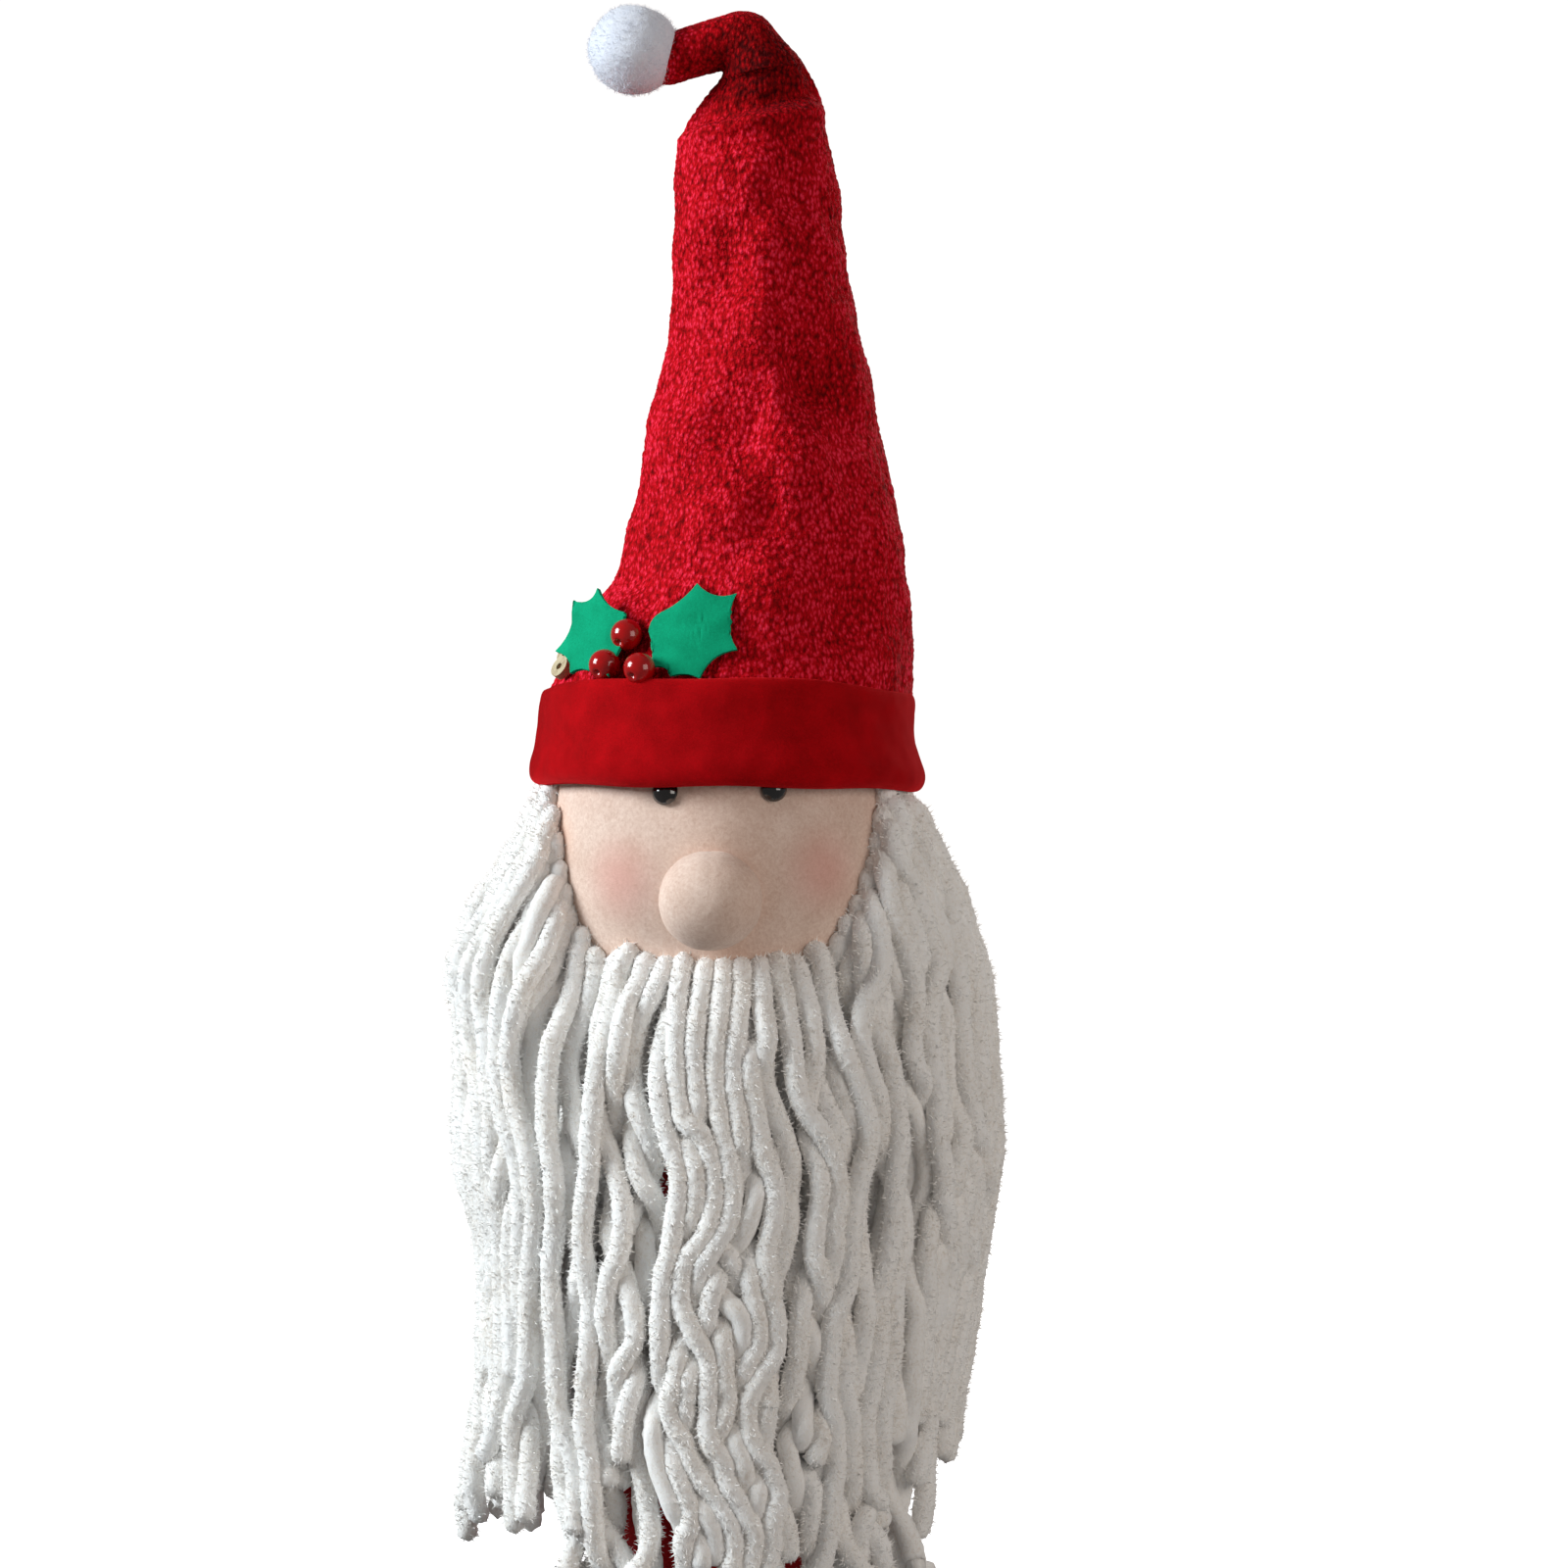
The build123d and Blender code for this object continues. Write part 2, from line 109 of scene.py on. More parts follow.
world.node_tree.links.new(room_strength.outputs["Result"], background.inputs["Strength"])
scene.world = world


# %% [markdown]
# ## How a finish is written
# A finish is a small graph of nodes. Writing every Math node by hand hides the idea, so one class
# wraps a node's output and gives it Python's own signs: `1 - height * 0.5` then adds two Math
# nodes. A second class owns the graph and makes any other node from its type, its settings and
# its sockets. Both serve materials and Geometry Nodes alike.

# %% Nodes written as expressions
class Value:
    """One output of a node; a sign between two values adds a Math node."""

    def __init__(self, graph, socket):
        self.graph = graph
        self.socket = socket

    def maths(self, operation, first, second=0.0):
        return self.graph.node("ShaderNodeMath", {"operation": operation}, {0: first, 1: second})["Value"]

    def __add__(self, other):
        return self.maths("ADD", self, other)

    def __sub__(self, other):
        return self.maths("SUBTRACT", self, other)

    def __rsub__(self, other):
        return self.maths("SUBTRACT", other, self)

    def __mul__(self, other):
        return self.maths("MULTIPLY", self, other)

    def __truediv__(self, other):
        return self.maths("DIVIDE", self, other)

    def __pow__(self, other):
        return self.maths("POWER", self, other)

    __radd__ = __add__
    __rmul__ = __mul__


class Graph:
    """A node tree whose nodes are made by one method."""

    def __init__(self, tree):
        self.tree = tree

    def join(self, value, socket):
        if isinstance(value, Value):
            self.tree.links.new(value.socket, socket)
        else:
            socket.default_value = value

    def node(self, kind, settings=None, inputs=None):
        made = self.tree.nodes.new(kind)
        for name, value in (settings or {}).items():
            if name == "stops":
                ramp = made.color_ramp.elements
                while len(ramp) < len(value):
                    ramp.new(1.0)
                for element, (place, colour) in zip(ramp, value):
                    element.position = place
                    element.color = colour
            elif name == "captures":
                for capture in value:
                    made.capture_items.new("FLOAT", capture)
            else:
                setattr(made, name, value)
        for name, value in (inputs or {}).items():
            if isinstance(name, int):
                socket = made.inputs[name]
            else:
                socket = next(s for s in made.inputs if s.enabled and s.name == name)
            self.join(value, socket)
        return {s.name: Value(self, s) for s in made.outputs if s.enabled and s.name}


# %% One finish
class Finish(Graph):
    """A material: constants go straight to the surface, patterns through surface()."""

    def __init__(self, name, constants):
        self.material = bpy.data.materials.new(name)
        self.material.use_nodes = True
        super().__init__(self.material.node_tree)
        self.shader = self.tree.nodes["Principled BSDF"]
        for socket, value in constants.items():
            self.shader.inputs[socket].default_value = value
        self.place = self.node("ShaderNodeTexCoord")["Object"]

    def noise(self, size, detail=2.0, roughness=0.5, vector=None, distortion=0.0):
        inputs = {"Vector": vector or self.place, "Scale": 1 / size, "Detail": detail}
        inputs.update({"Roughness": roughness, "Distortion": distortion})
        return self.node("ShaderNodeTexNoise", None, inputs)["Fac"]

    def cells(self, size, vector):
        inputs = {"Vector": vector, "Scale": 1 / size}
        return self.node("ShaderNodeTexVoronoi", {"feature": "F1"}, inputs)["Distance"]

    def stretch(self, scale, turn=(0, 0, 0)):
        inputs = {"Vector": self.place, "Scale": scale, "Rotation": turn}
        return self.node("ShaderNodeMapping", None, inputs)["Vector"]

    def colours(self, value, stops):
        return self.node("ShaderNodeValToRGB", {"stops": stops}, {"Fac": value})["Color"]

    def mix(self, factor, first, second, mode="MIX"):
        settings = {"data_type": "RGBA", "blend_type": mode}
        return self.node("ShaderNodeMix", settings, {"Factor": factor, "A": first, "B": second})["Result"]

    def within(self, centre, radius):
        """1 at the centre, falling to 0 at the radius."""
        spread = self.node("ShaderNodeVectorMath", {"operation": "DISTANCE"}, {0: self.place, 1: centre})
        inputs = {"Value": spread["Value"], "From Min": radius, "From Max": 0.0}
        return self.node("ShaderNodeMapRange", {"interpolation_type": "SMOOTHSTEP"}, inputs)["Result"]

    def bump(self, height, distance, strength=1.0):
        inputs = {"Height": height, "Distance": distance, "Strength": strength}
        return self.node("ShaderNodeBump", None, inputs)["Normal"]

    def surface(self, **patterns):
        for name, value in patterns.items():
            self.join(value, self.shader.inputs[name.replace("_", " ")])
        return self.material


# %% [markdown]
# ## Backdrop
# The doll stands on one sheet of white paper. A paper sweep that curves up behind would hide the
# doll from behind, so the sheet stays flat here and the white room stands for the rest. The sheet
# is hidden from diffuse and glossy rays, so it neither lights the doll nor shows in its gloss.

# %% Sweep
sweep_rows = [(-6, 0), (0, 0), (6, 0)]
sweep_mesh = bpy.data.meshes.new("sweep")
sweep_points = [(x, y, z) for y, z in sweep_rows for x in (-6, 6)]
sweep_faces = [(2 * i, 2 * i + 1, 2 * i + 3, 2 * i + 2) for i in range(len(sweep_rows) - 1)]
sweep_mesh.from_pydata(sweep_points, [], sweep_faces)
sweep_mesh.shade_smooth()
sweep = bpy.data.objects.new("sweep", sweep_mesh)
scene.collection.objects.link(sweep)
paper = Finish("studio paper", {"Roughness": 0.9, "Emission Strength": 1.0})
paper.shader.inputs["Emission Color"].default_value = (1, 1, 1, 1)
paper_tone = paper.mix(paper.noise(0.4), (0.86, 0.86, 0.86, 1), (0.9, 0.9, 0.9, 1))
sweep_mesh.materials.append(paper.surface(Base_Color=paper_tone))
sweep.visible_diffuse = False
sweep.visible_glossy = False
print("sweep rows", len(sweep_rows))


# %% [markdown]
# ## Surfaces made of rings
# Hat, cuff, face, nose and body are all cloth sewn into tubes and stuffed. Each is built as rings
# of points, one above the next, whose sizes come from a short table. The table's rows are joined
# by a smooth curve through them, because cloth over stuffing has no corners between its rows.

# %% Ring helpers
def through_rows(rows, places):
    """Values of a smooth curve through rows (place, value, ...) at the given places."""
    rows = np.array(rows, float)
    knots = rows[:, 0]
    values = rows[:, 1:]
    slopes = np.gradient(values, knots, axis=0)
    places = np.clip(places, knots[0], knots[-1])
    low = np.clip(np.searchsorted(knots, places) - 1, 0, len(knots) - 2)
    span = (knots[low + 1] - knots[low])[:, None]
    t = (places[:, None] - knots[low][:, None]) / span
    start = (2 * t**3 - 3 * t**2 + 1) * values[low] + (t**3 - 2 * t**2 + t) * span * slopes[low]
    return start + (3 * t**2 - 2 * t**3) * values[low + 1] + (t**3 - t**2) * span * slopes[low + 1]


def ring_normals(rings):
    """Outward directions of a grid of rings, which run anticlockwise seen from their far end."""
    along = np.gradient(rings, axis=0)
    around = np.roll(rings, -1, axis=1) - np.roll(rings, 1, axis=1)
    out = np.cross(around, along)
    return out / np.maximum(np.linalg.norm(out, axis=2, keepdims=True), 1e-12)


def ring_mesh(name, rings, first_end=True, last_end=True):
    """A mesh over rings of points, with each end closed by a fan unless it is left open."""
    count, segments = rings.shape[:2]
    points = rings.reshape(-1, 3).tolist()
    faces = []
    for i in range(count - 1):
        for j in range(segments):
            k = (j + 1) % segments
            faces.append((i * segments + j, i * segments + k, (i + 1) * segments + k, (i + 1) * segments + j))
    for wanted, row, turned in ((first_end, 0, True), (last_end, count - 1, False)):
        if wanted:
            points.append(rings[row].mean(axis=0).tolist())
            for j in range(segments):
                k = (j + 1) % segments
                edge = (row * segments + j, row * segments + k)
                faces.append((edge[1], edge[0], len(points) - 1) if turned else (*edge, len(points) - 1))
    mesh = bpy.data.meshes.new(name)
    mesh.from_pydata(points, [], faces)
    mesh.shade_smooth()
    return mesh


def show(name, mesh, material):
    """Put a finished mesh into the scene under its name, with its material."""
    mesh.name = name
    mesh.materials.clear()
    mesh.materials.append(material)
    piece = bpy.data.objects.new(name, mesh)
    scene.collection.objects.link(piece)
    return piece


def soft_noise(points, size, seed):
    """Smooth noise between -1 and 1 at each point, with lumps of about the given size."""
    flat = np.asarray(points).reshape(-1, 3) / size + seed
    values = [noise.noise(Vector(p)) for p in flat]
    return np.array(values).reshape(np.shape(points)[:-1])


def pebbles(points, size, stretch, seed):
    """Rounded pebbles, 1 at each middle and 0 between them; stretch lengthens them upwards."""
    flat = np.asarray(points).reshape(-1, 3) / size / np.array((1, 1, stretch)) + seed
    nearest = [noise.voronoi(Vector(p))[0][0] for p in flat]
    return np.clip(1 - (np.array(nearest) / 0.75) ** 2, 0, 1).reshape(np.shape(points)[:-1])


# %% [markdown]
# ## Hat
# The hat is one cone of boucle cloth, stuffed, that folds over at its crown and again at its tip.
# It could be three meshes, one for each moving body, but the seams between them would show. It is
# worked out as one run of rings, from the cuff to the pompom, and only then cut at two rings.
# Each row gives the left or inner edge, the right or outer edge, and half the depth. At the peak
# the inner edge stays at the fold's notch while the outer edge swings over it.

# %% Hat rows
hat_rows = [
    ((-54.6, 250.0), (56.8, 250.0), 54.8), ((-54.4, 262.0), (57.0, 262.0), 54.6),
    ((-53.4, 270.0), (57.4, 270.0), 53.8), ((-50.6, 275.6), (57.6, 274.6), 52.4),
    ((-46.4, 283.0), (57.8, 282.0), 50.6), ((-42.0, 291.6), (57.4, 290.5), 48.6),
    ((-37.2, 301.0), (56.6, 300.5), 46.2), ((-32.6, 308.5), (55.5, 308.5), 44.2),
    ((-29.6, 316.5), (54.4, 316.5), 42.5), ((-27.2, 327.6), (52.4, 327.6), 40.4),
    ((-25.2, 339.6), (50.1, 339.6), 38.2), ((-23.4, 351.6), (47.6, 351.6), 36.0),
    ((-19.4, 365.7), (45.0, 365.7), 33.2), ((-16.6, 379.2), (42.2, 379.2), 30.6),
    ((-15.7, 392.0), (39.4, 391.0), 28.2), ((-15.3, 408.0), (36.9, 408.0), 26.0),
    ((-14.4, 421.2), (35.4, 421.2), 24.4), ((-14.6, 432.3), (33.4, 433.5), 22.6),
    ((-12.4, 442.6), (31.4, 444.5), 20.2), ((-6.0, 452.2), (29.0, 455.5), 17.0),
    ((-0.8, 459.6), (24.6, 463.6), 13.8), ((-0.2, 461.4), (18.6, 471.6), 11.4),
    ((-0.6, 461.7), (12.6, 478.4), 9.6), ((-1.6, 461.4), (6.0, 480.6), 8.9),
    ((-4.6, 460.7), (-0.6, 479.0), 8.6), ((-10.0, 459.3), (-7.4, 476.6), 8.4),
    ((-17.0, 457.5), (-14.6, 474.2), 8.2), ((-24.0, 458.6), (-22.0, 470.6), 6.6),
]
hat_edges = np.array([[a[0], a[1], b[0], b[1], d] for a, b, d in hat_rows]) * MM
hat_steps = np.hypot(*np.diff(hat_edges[:, :2], axis=0).T) + np.hypot(*np.diff(hat_edges[:, 2:4], axis=0).T)
hat_places = np.concatenate([[0], np.cumsum(hat_steps / 2)])
peak_row = 20
print("hat path", round(hat_places[-1] / MM), "mm")

# %% Hat rings
hat_segments = 330
hat_ring_count = 400
hat_path = np.linspace(0, hat_places[-1], hat_ring_count)
hat_table = np.column_stack([hat_places, hat_edges])
hat_at = through_rows(hat_table, hat_path)
inner, outer, depth = hat_at[:, 0:2], hat_at[:, 2:4], hat_at[:, 4]
turns = np.linspace(0, 2 * pi, hat_segments, endpoint=False)
middle = (inner + outer) / 2
reach = (outer - inner) / 2
hat = np.zeros((hat_ring_count, hat_segments, 3))
hat[:, :, 0] = middle[:, None, 0] + reach[:, None, 0] * np.cos(turns)
hat[:, :, 2] = middle[:, None, 1] + reach[:, None, 1] * np.cos(turns)
hat[:, :, 1] = depth[:, None] * np.sin(turns)
hat_out = ring_normals(hat)
front = np.clip(-np.sin(turns), 0, 1)[None, :] ** 0.5
back = np.clip(np.sin(turns), 0, 1)[None, :] ** 0.5
print("hat rings", hat.shape[:2])

# %% [markdown]
# Stuffed cloth is never an even cone. It puffs where the stuffing is tight and sinks where it is
# loose, and the crown tucks in under its own fold. These puffs are placed one by one at the front,
# a few more are put at the back, and finer wrinkles come from noise. The boucle loops are pebbles
# about two millimetres wide, taller than wide, raised out of the mesh so that they catch the light.

# %% Folds and pebbles of the hat
# x, z, half width, half height, rise
front_puffs = [
    (11, 383, 8, 9, 2.0), (28, 365, 8, 10, -3.0), (1, 399, 5, 9, -1.3), (-9, 374, 6, 8, -0.9),
    (-14, 348, 8, 12, 1.4), (6, 350, 10, 8, -1.3), (22, 340, 9, 13, 1.5), (40, 344, 7, 12, -1.2),
    (-24, 303, 7, 7, -1.6), (16, 303, 14, 12, 1.6), (38, 300, 9, 12, -1.6), (-2, 322, 9, 9, 1.1),
    (14, 327, 7, 9, -1.3), (8, 431, 8, 7, 1.0), (22, 425, 6, 10, -1.5), (30, 400, 5, 12, 1.0),
    (14, 408, 8, 9, 1.1), (-6, 418, 7, 11, 0.8), (50, 318, 6, 14, 1.2), (17, 362, 4, 12, 0.9),
]
back_puffs = [
    (0, 300, 16, 14, 1.5), (30, 312, 10, 15, -1.6), (-8, 340, 10, 12, 1.2), (20, 352, 12, 10, -1.4),
    (8, 388, 9, 12, 1.4), (26, 400, 8, 12, -1.2), (4, 424, 9, 9, -1.1), (18, 440, 8, 8, 0.8),
]
rise = np.zeros(hat.shape[:2])
for puffs, side in ((front_puffs, front), (back_puffs, back)):
    for x, z, width, height, lift in puffs:
        far = ((hat[:, :, 0] / MM - x) / width) ** 2 + ((hat[:, :, 2] / MM - z) / height) ** 2
        rise += lift * np.exp(-far) * side
crease = hat[:, :, 2] / MM - (443.6 + (hat[:, :, 0] / MM + 12.6) * 0.21)
tuck = 2.4 * np.exp(-(((crease + 3.2) / 3.0) ** 2)) - 4.2 * np.exp(-(((crease - 3.4) / 4.2) ** 2))
tuck -= 2.6 * np.exp(-(((crease - 11.0) / 7.0) ** 2))
below_peak = (hat_path < hat_places[peak_row])[:, None]
rise += 0.55 * soft_noise(hat, 15 * MM, 3.1) + 0.35 * soft_noise(hat * (1, 1, 0.55), 6 * MM, 8.4)
hat_fade = np.clip((hat_places[-1] - hat_path) / (60 * MM), 0.35, 1)[:, None]
loops_up = 0.5 * pebbles(hat, 1.5 * MM, 1.5, 5.0) + 0.3 * pebbles(hat, 1.1 * MM, 1.2, 9.0)
puff_strength = 2.3
cloth_sink = 0.35 * MM
hat_lift = puff_strength * rise * hat_fade + tuck * front * below_peak + loops_up * np.clip(hat_fade, 0.4, 1)
hat += hat_out * (hat_lift[:, :, None] * MM - cloth_sink)
print("hat rise", round(rise.min(), 2), "to", round(rise.max(), 2), "mm")

# %% [markdown]
# Boucle yarn is dyed in one bath, yet each loop shows bright on its crown and almost black in the
# gap below it. The colour paints that in, at the same pebble size as the mesh: a painted highlight
# on each loop and painted shade in the gaps, with patches of lighter and darker yarn over it. A
# sheen stands for the fine hairs that catch the light at the edges. The crown above its fold, and
# one hollow, get painted shade too: their colour is darker than the light alone makes them.

# %% Boucle finish
boucle = Finish("boucle cloth", {"Roughness": 0.82, "Sheen Weight": 0.05, "Sheen Roughness": 0.4})
boucle.shader.inputs["Sheen Tint"].default_value = (1.0, 0.08, 0.16, 1)
boucle.shader.inputs["Specular IOR Level"].default_value = 0.06
tall = boucle.stretch((1, 1, 0.6))
loop_gap = boucle.cells(1.3 * MM, tall)
fine_gap = boucle.cells(0.7 * MM, tall)
patch = boucle.noise(14 * MM, 3.0)
# Painted shade: the crown above its fold and one hollow are darkened in the colour to stand for their shadow.
crown_painted_shade = boucle.within((0.013, -0.012, 0.4625), 0.030) * 0.42
hollow_painted_shade = boucle.within((0.028, -0.02, 0.366), 0.02) * 0.16
painted_fold_shade = crown_painted_shade + hollow_painted_shade
# The tone paints a highlight on each loop's crown and shade in the gaps, over random patches, less the
# painted fold shade.
boucle_tone_and_painted_light = 1.06 - loop_gap * 0.62 - fine_gap * 0.3 + (patch - 0.5) * 0.35 - painted_fold_shade
boucle_colour = boucle.colours(boucle_tone_and_painted_light, [
    (0.05, (0.05, 0.0002, 0.0006, 1)),
    (0.36, (0.24, 0.0006, 0.0018, 1)),
    (0.62, (0.54, 0.0014, 0.007, 1)),
    (0.92, (0.98, 0.035, 0.09, 1)),
])
boucle_height = (1 - loop_gap) * 0.7 + (1 - fine_gap) * 0.35 + boucle.noise(0.5 * MM) * 0.25
boucle_cloth = boucle.surface(Base_Color=boucle_colour, Normal=boucle.bump(boucle_height, 0.9 * MM, 0.9))

# %% Hat pieces
crown_cut = int(np.searchsorted(hat[:, 0, 2], 431 * MM))
tip_cut = int(np.searchsorted(hat_path, hat_places[peak_row]))
hat_main = show("hat_boucle", ring_mesh("hat", hat[: crown_cut + 1], last_end=False), boucle_cloth)
hat_crown = show("crown_boucle", ring_mesh("crown", hat[crown_cut : tip_cut + 1], False, False), boucle_cloth)
hat_tip = show("tip_boucle", ring_mesh("tip", hat[tip_cut:], first_end=False), boucle_cloth)
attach(hat_main, "root")
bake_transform(hat_crown)
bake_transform(hat_tip)
for piece, part in ((hat_main, "hat"), (hat_crown, "crown"), (hat_tip, "tip")):
    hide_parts(part + "_cloth", part + "_filling")
print("hat cut at rings", crown_cut, tip_cut)

# %% [markdown]
# ## Cuff
# The cuff is a strip of smooth red felt, folded double and sewn round the brim, so both its edges
# are rounded folds. Its section is a closed loop of a few points, smoothed, and swept round the
# hat. The edges rise and fall a little, as a hand-sewn band does.

# %% Cuff rings
# radius, height above the lower edge's level: down the outside, then up the inside
cuff_section = [
    (55.8, 25.0), (56.7, 29.2), (58.0, 30.8), (59.2, 29.6), (59.6, 26.0), (59.4, 19.0), (60.2, 11.0),
    (61.2, 5.6), (60.9, 2.2), (59.5, 0.1), (57.6, -0.6), (56.2, 0.5), (55.7, 3.0), (55.6, 12.0),
]
cuff_segments = 360
cuff_sides = 84
cuff_knots = [(i, *row) for i, row in enumerate(cuff_section + cuff_section[:2])]
cuff_at = through_rows(cuff_knots, np.linspace(1, len(cuff_section) + 1, cuff_sides, endpoint=False))
cuff_turn = np.linspace(0, 2 * pi, cuff_segments, endpoint=False)
cuff = np.zeros((cuff_segments, cuff_sides, 3))
share = np.clip(cuff_at[:, 1] / 30, 0, 1)[None, :]
facing = -np.sin(cuff_turn)[:, None]
sideways = np.cos(cuff_turn)[:, None]
top_wave = 1.4 * facing - 2.2 * sideways**2 - 0.9 * sideways + 0.5 * np.sin(5 * cuff_turn + 1)[:, None]
low_wave = -1.3 * np.clip(sideways, 0, 1) ** 2 + 0.9 * np.clip(-sideways, 0, 1) ** 2
low_wave = low_wave + 0.35 * np.sin(7 * cuff_turn)[:, None]
cuff_radius = cuff_at[None, :, 0] - share * (2.3 * np.abs(sideways) ** 3)
cuff[:, :, 0] = (1.1 + cuff_radius * np.cos(cuff_turn)[:, None]) * MM
cuff[:, :, 1] = cuff_radius * np.sin(cuff_turn)[:, None] * MM
cuff[:, :, 2] = (243.3 + cuff_at[None, :, 1] + share * top_wave + (1 - share) * low_wave) * MM
cuff_out = np.stack([np.cos(cuff_turn), np.sin(cuff_turn), 0 * cuff_turn], 1)[:, None, :]
outside = (cuff_at[None, :, 0] > 57.0)
dents = 0.8 * soft_noise(cuff * (1, 1, 1.6), 17 * MM, 2.2) + 0.3 * soft_noise(cuff, 6 * MM, 6.2)
cuff += cuff_out * ((dents - 0.25) * outside)[:, :, None] * MM
cuff_mesh = bpy.data.meshes.new("cuff")
cuff_faces = []
for i in range(cuff_segments):
    for j in range(cuff_sides):
        a, b = (i + 1) % cuff_segments, (j + 1) % cuff_sides
        cuff_faces.append((i * cuff_sides + j, i * cuff_sides + b, a * cuff_sides + b, a * cuff_sides + j))
cuff_mesh.from_pydata(cuff.reshape(-1, 3).tolist(), [], cuff_faces)
cuff_mesh.shade_smooth()
print("cuff faces", len(cuff_faces))

# %% Felt finish
def felt(name, dark, light, sheen, hairs=0.7):
    """Pressed wool: even colour, fine tangled hairs and a soft sheen."""
    made = Finish(name, {"Roughness": 0.92, "Sheen Weight": sheen, "Sheen Roughness": 0.4})
    made.shader.inputs["Specular IOR Level"].default_value = 0.06
    made.shader.inputs["Sheen Tint"].default_value = [min(1, 1.9 * v + 0.03) for v in light[:3]] + [1]
    tangle = made.noise(0.55 * MM, 6.0, 0.7, distortion=1.5)
    cloud = made.noise(9 * MM, 3.0)
    strands = made.noise(0.35 * MM, 2.0, 0.6, made.stretch((1, 1, 3.0), (0.4, 0.9, 0.2)))
    tone = tangle * 0.55 + cloud * 0.3 + strands * 0.25
    colour = made.colours(tone, [(0.36, dark), (0.72, light)])
    height = tangle * 0.6 + strands * 0.4
    return made.surface(Base_Color=colour, Normal=made.bump(height, hairs * MM, 0.6))


red_felt = felt("red felt", (0.2, 0.0005, 0.0008, 1), (0.60, 0.0018, 0.006, 1), 1.0, 0.55)
cuff_piece = show("cuff_felt", cuff_mesh, red_felt)
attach(cuff_piece, "root")
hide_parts("hat_cuff")

# %% [markdown]
# ## Face
# The face is a stuffed ball of peach fleece, a little flatter in front than a true ball, with
# full cheeks. Rings of points follow the solid's profile, and the cheeks and the hollow round the
# nose are pushed out and in. The blush is powder brushed on, so it lies in the colour alone.

# %% Head rings
head_rings = 150
head_segments = 220
lift_angle = np.linspace(-pi / 2 + 0.12, pi / 2 - 0.9, head_rings)
head_turn = np.linspace(0, 2 * pi, head_segments, endpoint=False)
head_z = 225 + 75 * np.sin(lift_angle)
head_r = 54.4 * np.cos(lift_angle)
head = np.zeros((head_rings, head_segments, 3))
head[:, :, 0] = head_r[:, None] * np.cos(head_turn) * MM
head[:, :, 1] = head_r[:, None] * np.sin(head_turn) * MM
head[:, :, 2] = head_z[:, None] * MM
head_out = ring_normals(head)
swell = np.zeros(head.shape[:2])
# x, z, half width, half height, rise
for x, z, width, height, lift in [
    (-29, 214, 13, 13, 0.9), (29, 216, 13, 13, 0.8), (-3.6, 226, 9, 7, 0.6), (-17, 238, 6, 5, -0.9),
    (16, 239, 6, 5, -0.9), (-3.6, 190, 15, 5, 0.7), (-17, 205, 5, 8, -0.4), (10, 205, 5, 8, -0.4),
]:
    far = ((head[:, :, 0] / MM - x) / width) ** 2 + ((head[:, :, 2] / MM - z) / height) ** 2
    swell += lift * np.exp(-far) * (head[:, :, 1] < 0)
swell += 0.3 * soft_noise(head, 16 * MM, 4.4) + 0.07 * soft_noise(head, 2.2 * MM, 1.4)
head += head_out * swell[:, :, None] * MM
print("head swell", round(swell.max(), 2), "mm")


# %% Fleece finish
def fleece(name, dark, light, blushes=()):
    """Brushed fleece: short pile in small flecks, with powder where blushes say."""
    made = Finish(name, {"Roughness": 0.95, "Sheen Weight": 0.22, "Sheen Roughness": 0.5})
    made.shader.inputs["Specular IOR Level"].default_value = 0.15
    made.shader.inputs["Sheen Tint"].default_value = (1.0, 0.9, 0.84, 1)
    flecks = made.noise(1.1 * MM, 5.0, 0.65, distortion=0.6)
    pile = made.noise(0.42 * MM, 3.0, 0.6)
    cloud = made.noise(12 * MM, 2.0)
    colour = made.colours(flecks * 0.7 + cloud * 0.3, [(0.34, dark), (0.66, light)])
    for centre, radius, strength, powder in blushes:
        dabs = made.within(centre, radius) * strength * (0.75 + flecks * 0.5)
        colour = made.mix(dabs, colour, powder)
    height = flecks * 0.6 + pile * 0.5
    return made.surface(Base_Color=colour, Normal=made.bump(height, 0.4 * MM, 0.55))


powder = (0.78, 0.28, 0.24, 1)
skin = fleece("peach fleece", (0.66, 0.455, 0.36, 1), (0.86, 0.68, 0.58, 1), [
    ((-0.031, -0.046, 0.2148), 0.018, 0.42, powder),
    ((0.0305, -0.046, 0.2178), 0.018, 0.42, powder),
    ((-0.050, -0.02, 0.226), 0.015, 0.45, (0.86, 0.42, 0.25, 1)),
])
face = show("face_fleece", ring_mesh("face", head), skin)
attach(face, "root")
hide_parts("head_skin", "head_filling")

# %% [markdown]
# ## Nose
# A circle of fleece is gathered round a ball of stuffing and sewn on, which leaves a soft ball
# with small puckers where it meets the face. The puckers fade out towards the front.

# %% Nose ball
nose_centre = np.array((-3.4, -58.0, 208.8)) * MM
nose_rings = 90
nose_segments = 140
nose_rise = np.linspace(-pi / 2 + 0.02, pi / 2 - 0.02, nose_rings)
nose_turn = np.linspace(0, 2 * pi, nose_segments, endpoint=False)
ball = np.zeros((nose_rings, nose_segments, 3))
ball[:, :, 0] = 15.6 * np.cos(nose_rise)[:, None] * np.cos(nose_turn)
ball[:, :, 2] = 15.0 * np.cos(nose_rise)[:, None] * np.sin(nose_turn)
ball[:, :, 1] = -13.8 * np.sin(nose_rise)[:, None]
pucker = np.clip(-np.sin(nose_rise) - 0.15, 0, 1)[:, None] * (np.sin(14 * nose_turn) * 0.5 - 0.4)
top_seam = np.exp(-(((nose_turn - pi / 2) / 0.16) ** 2))[None, :]
top_seam = top_seam * np.clip(np.cos(nose_rise + 0.3), 0, 1)[:, None]
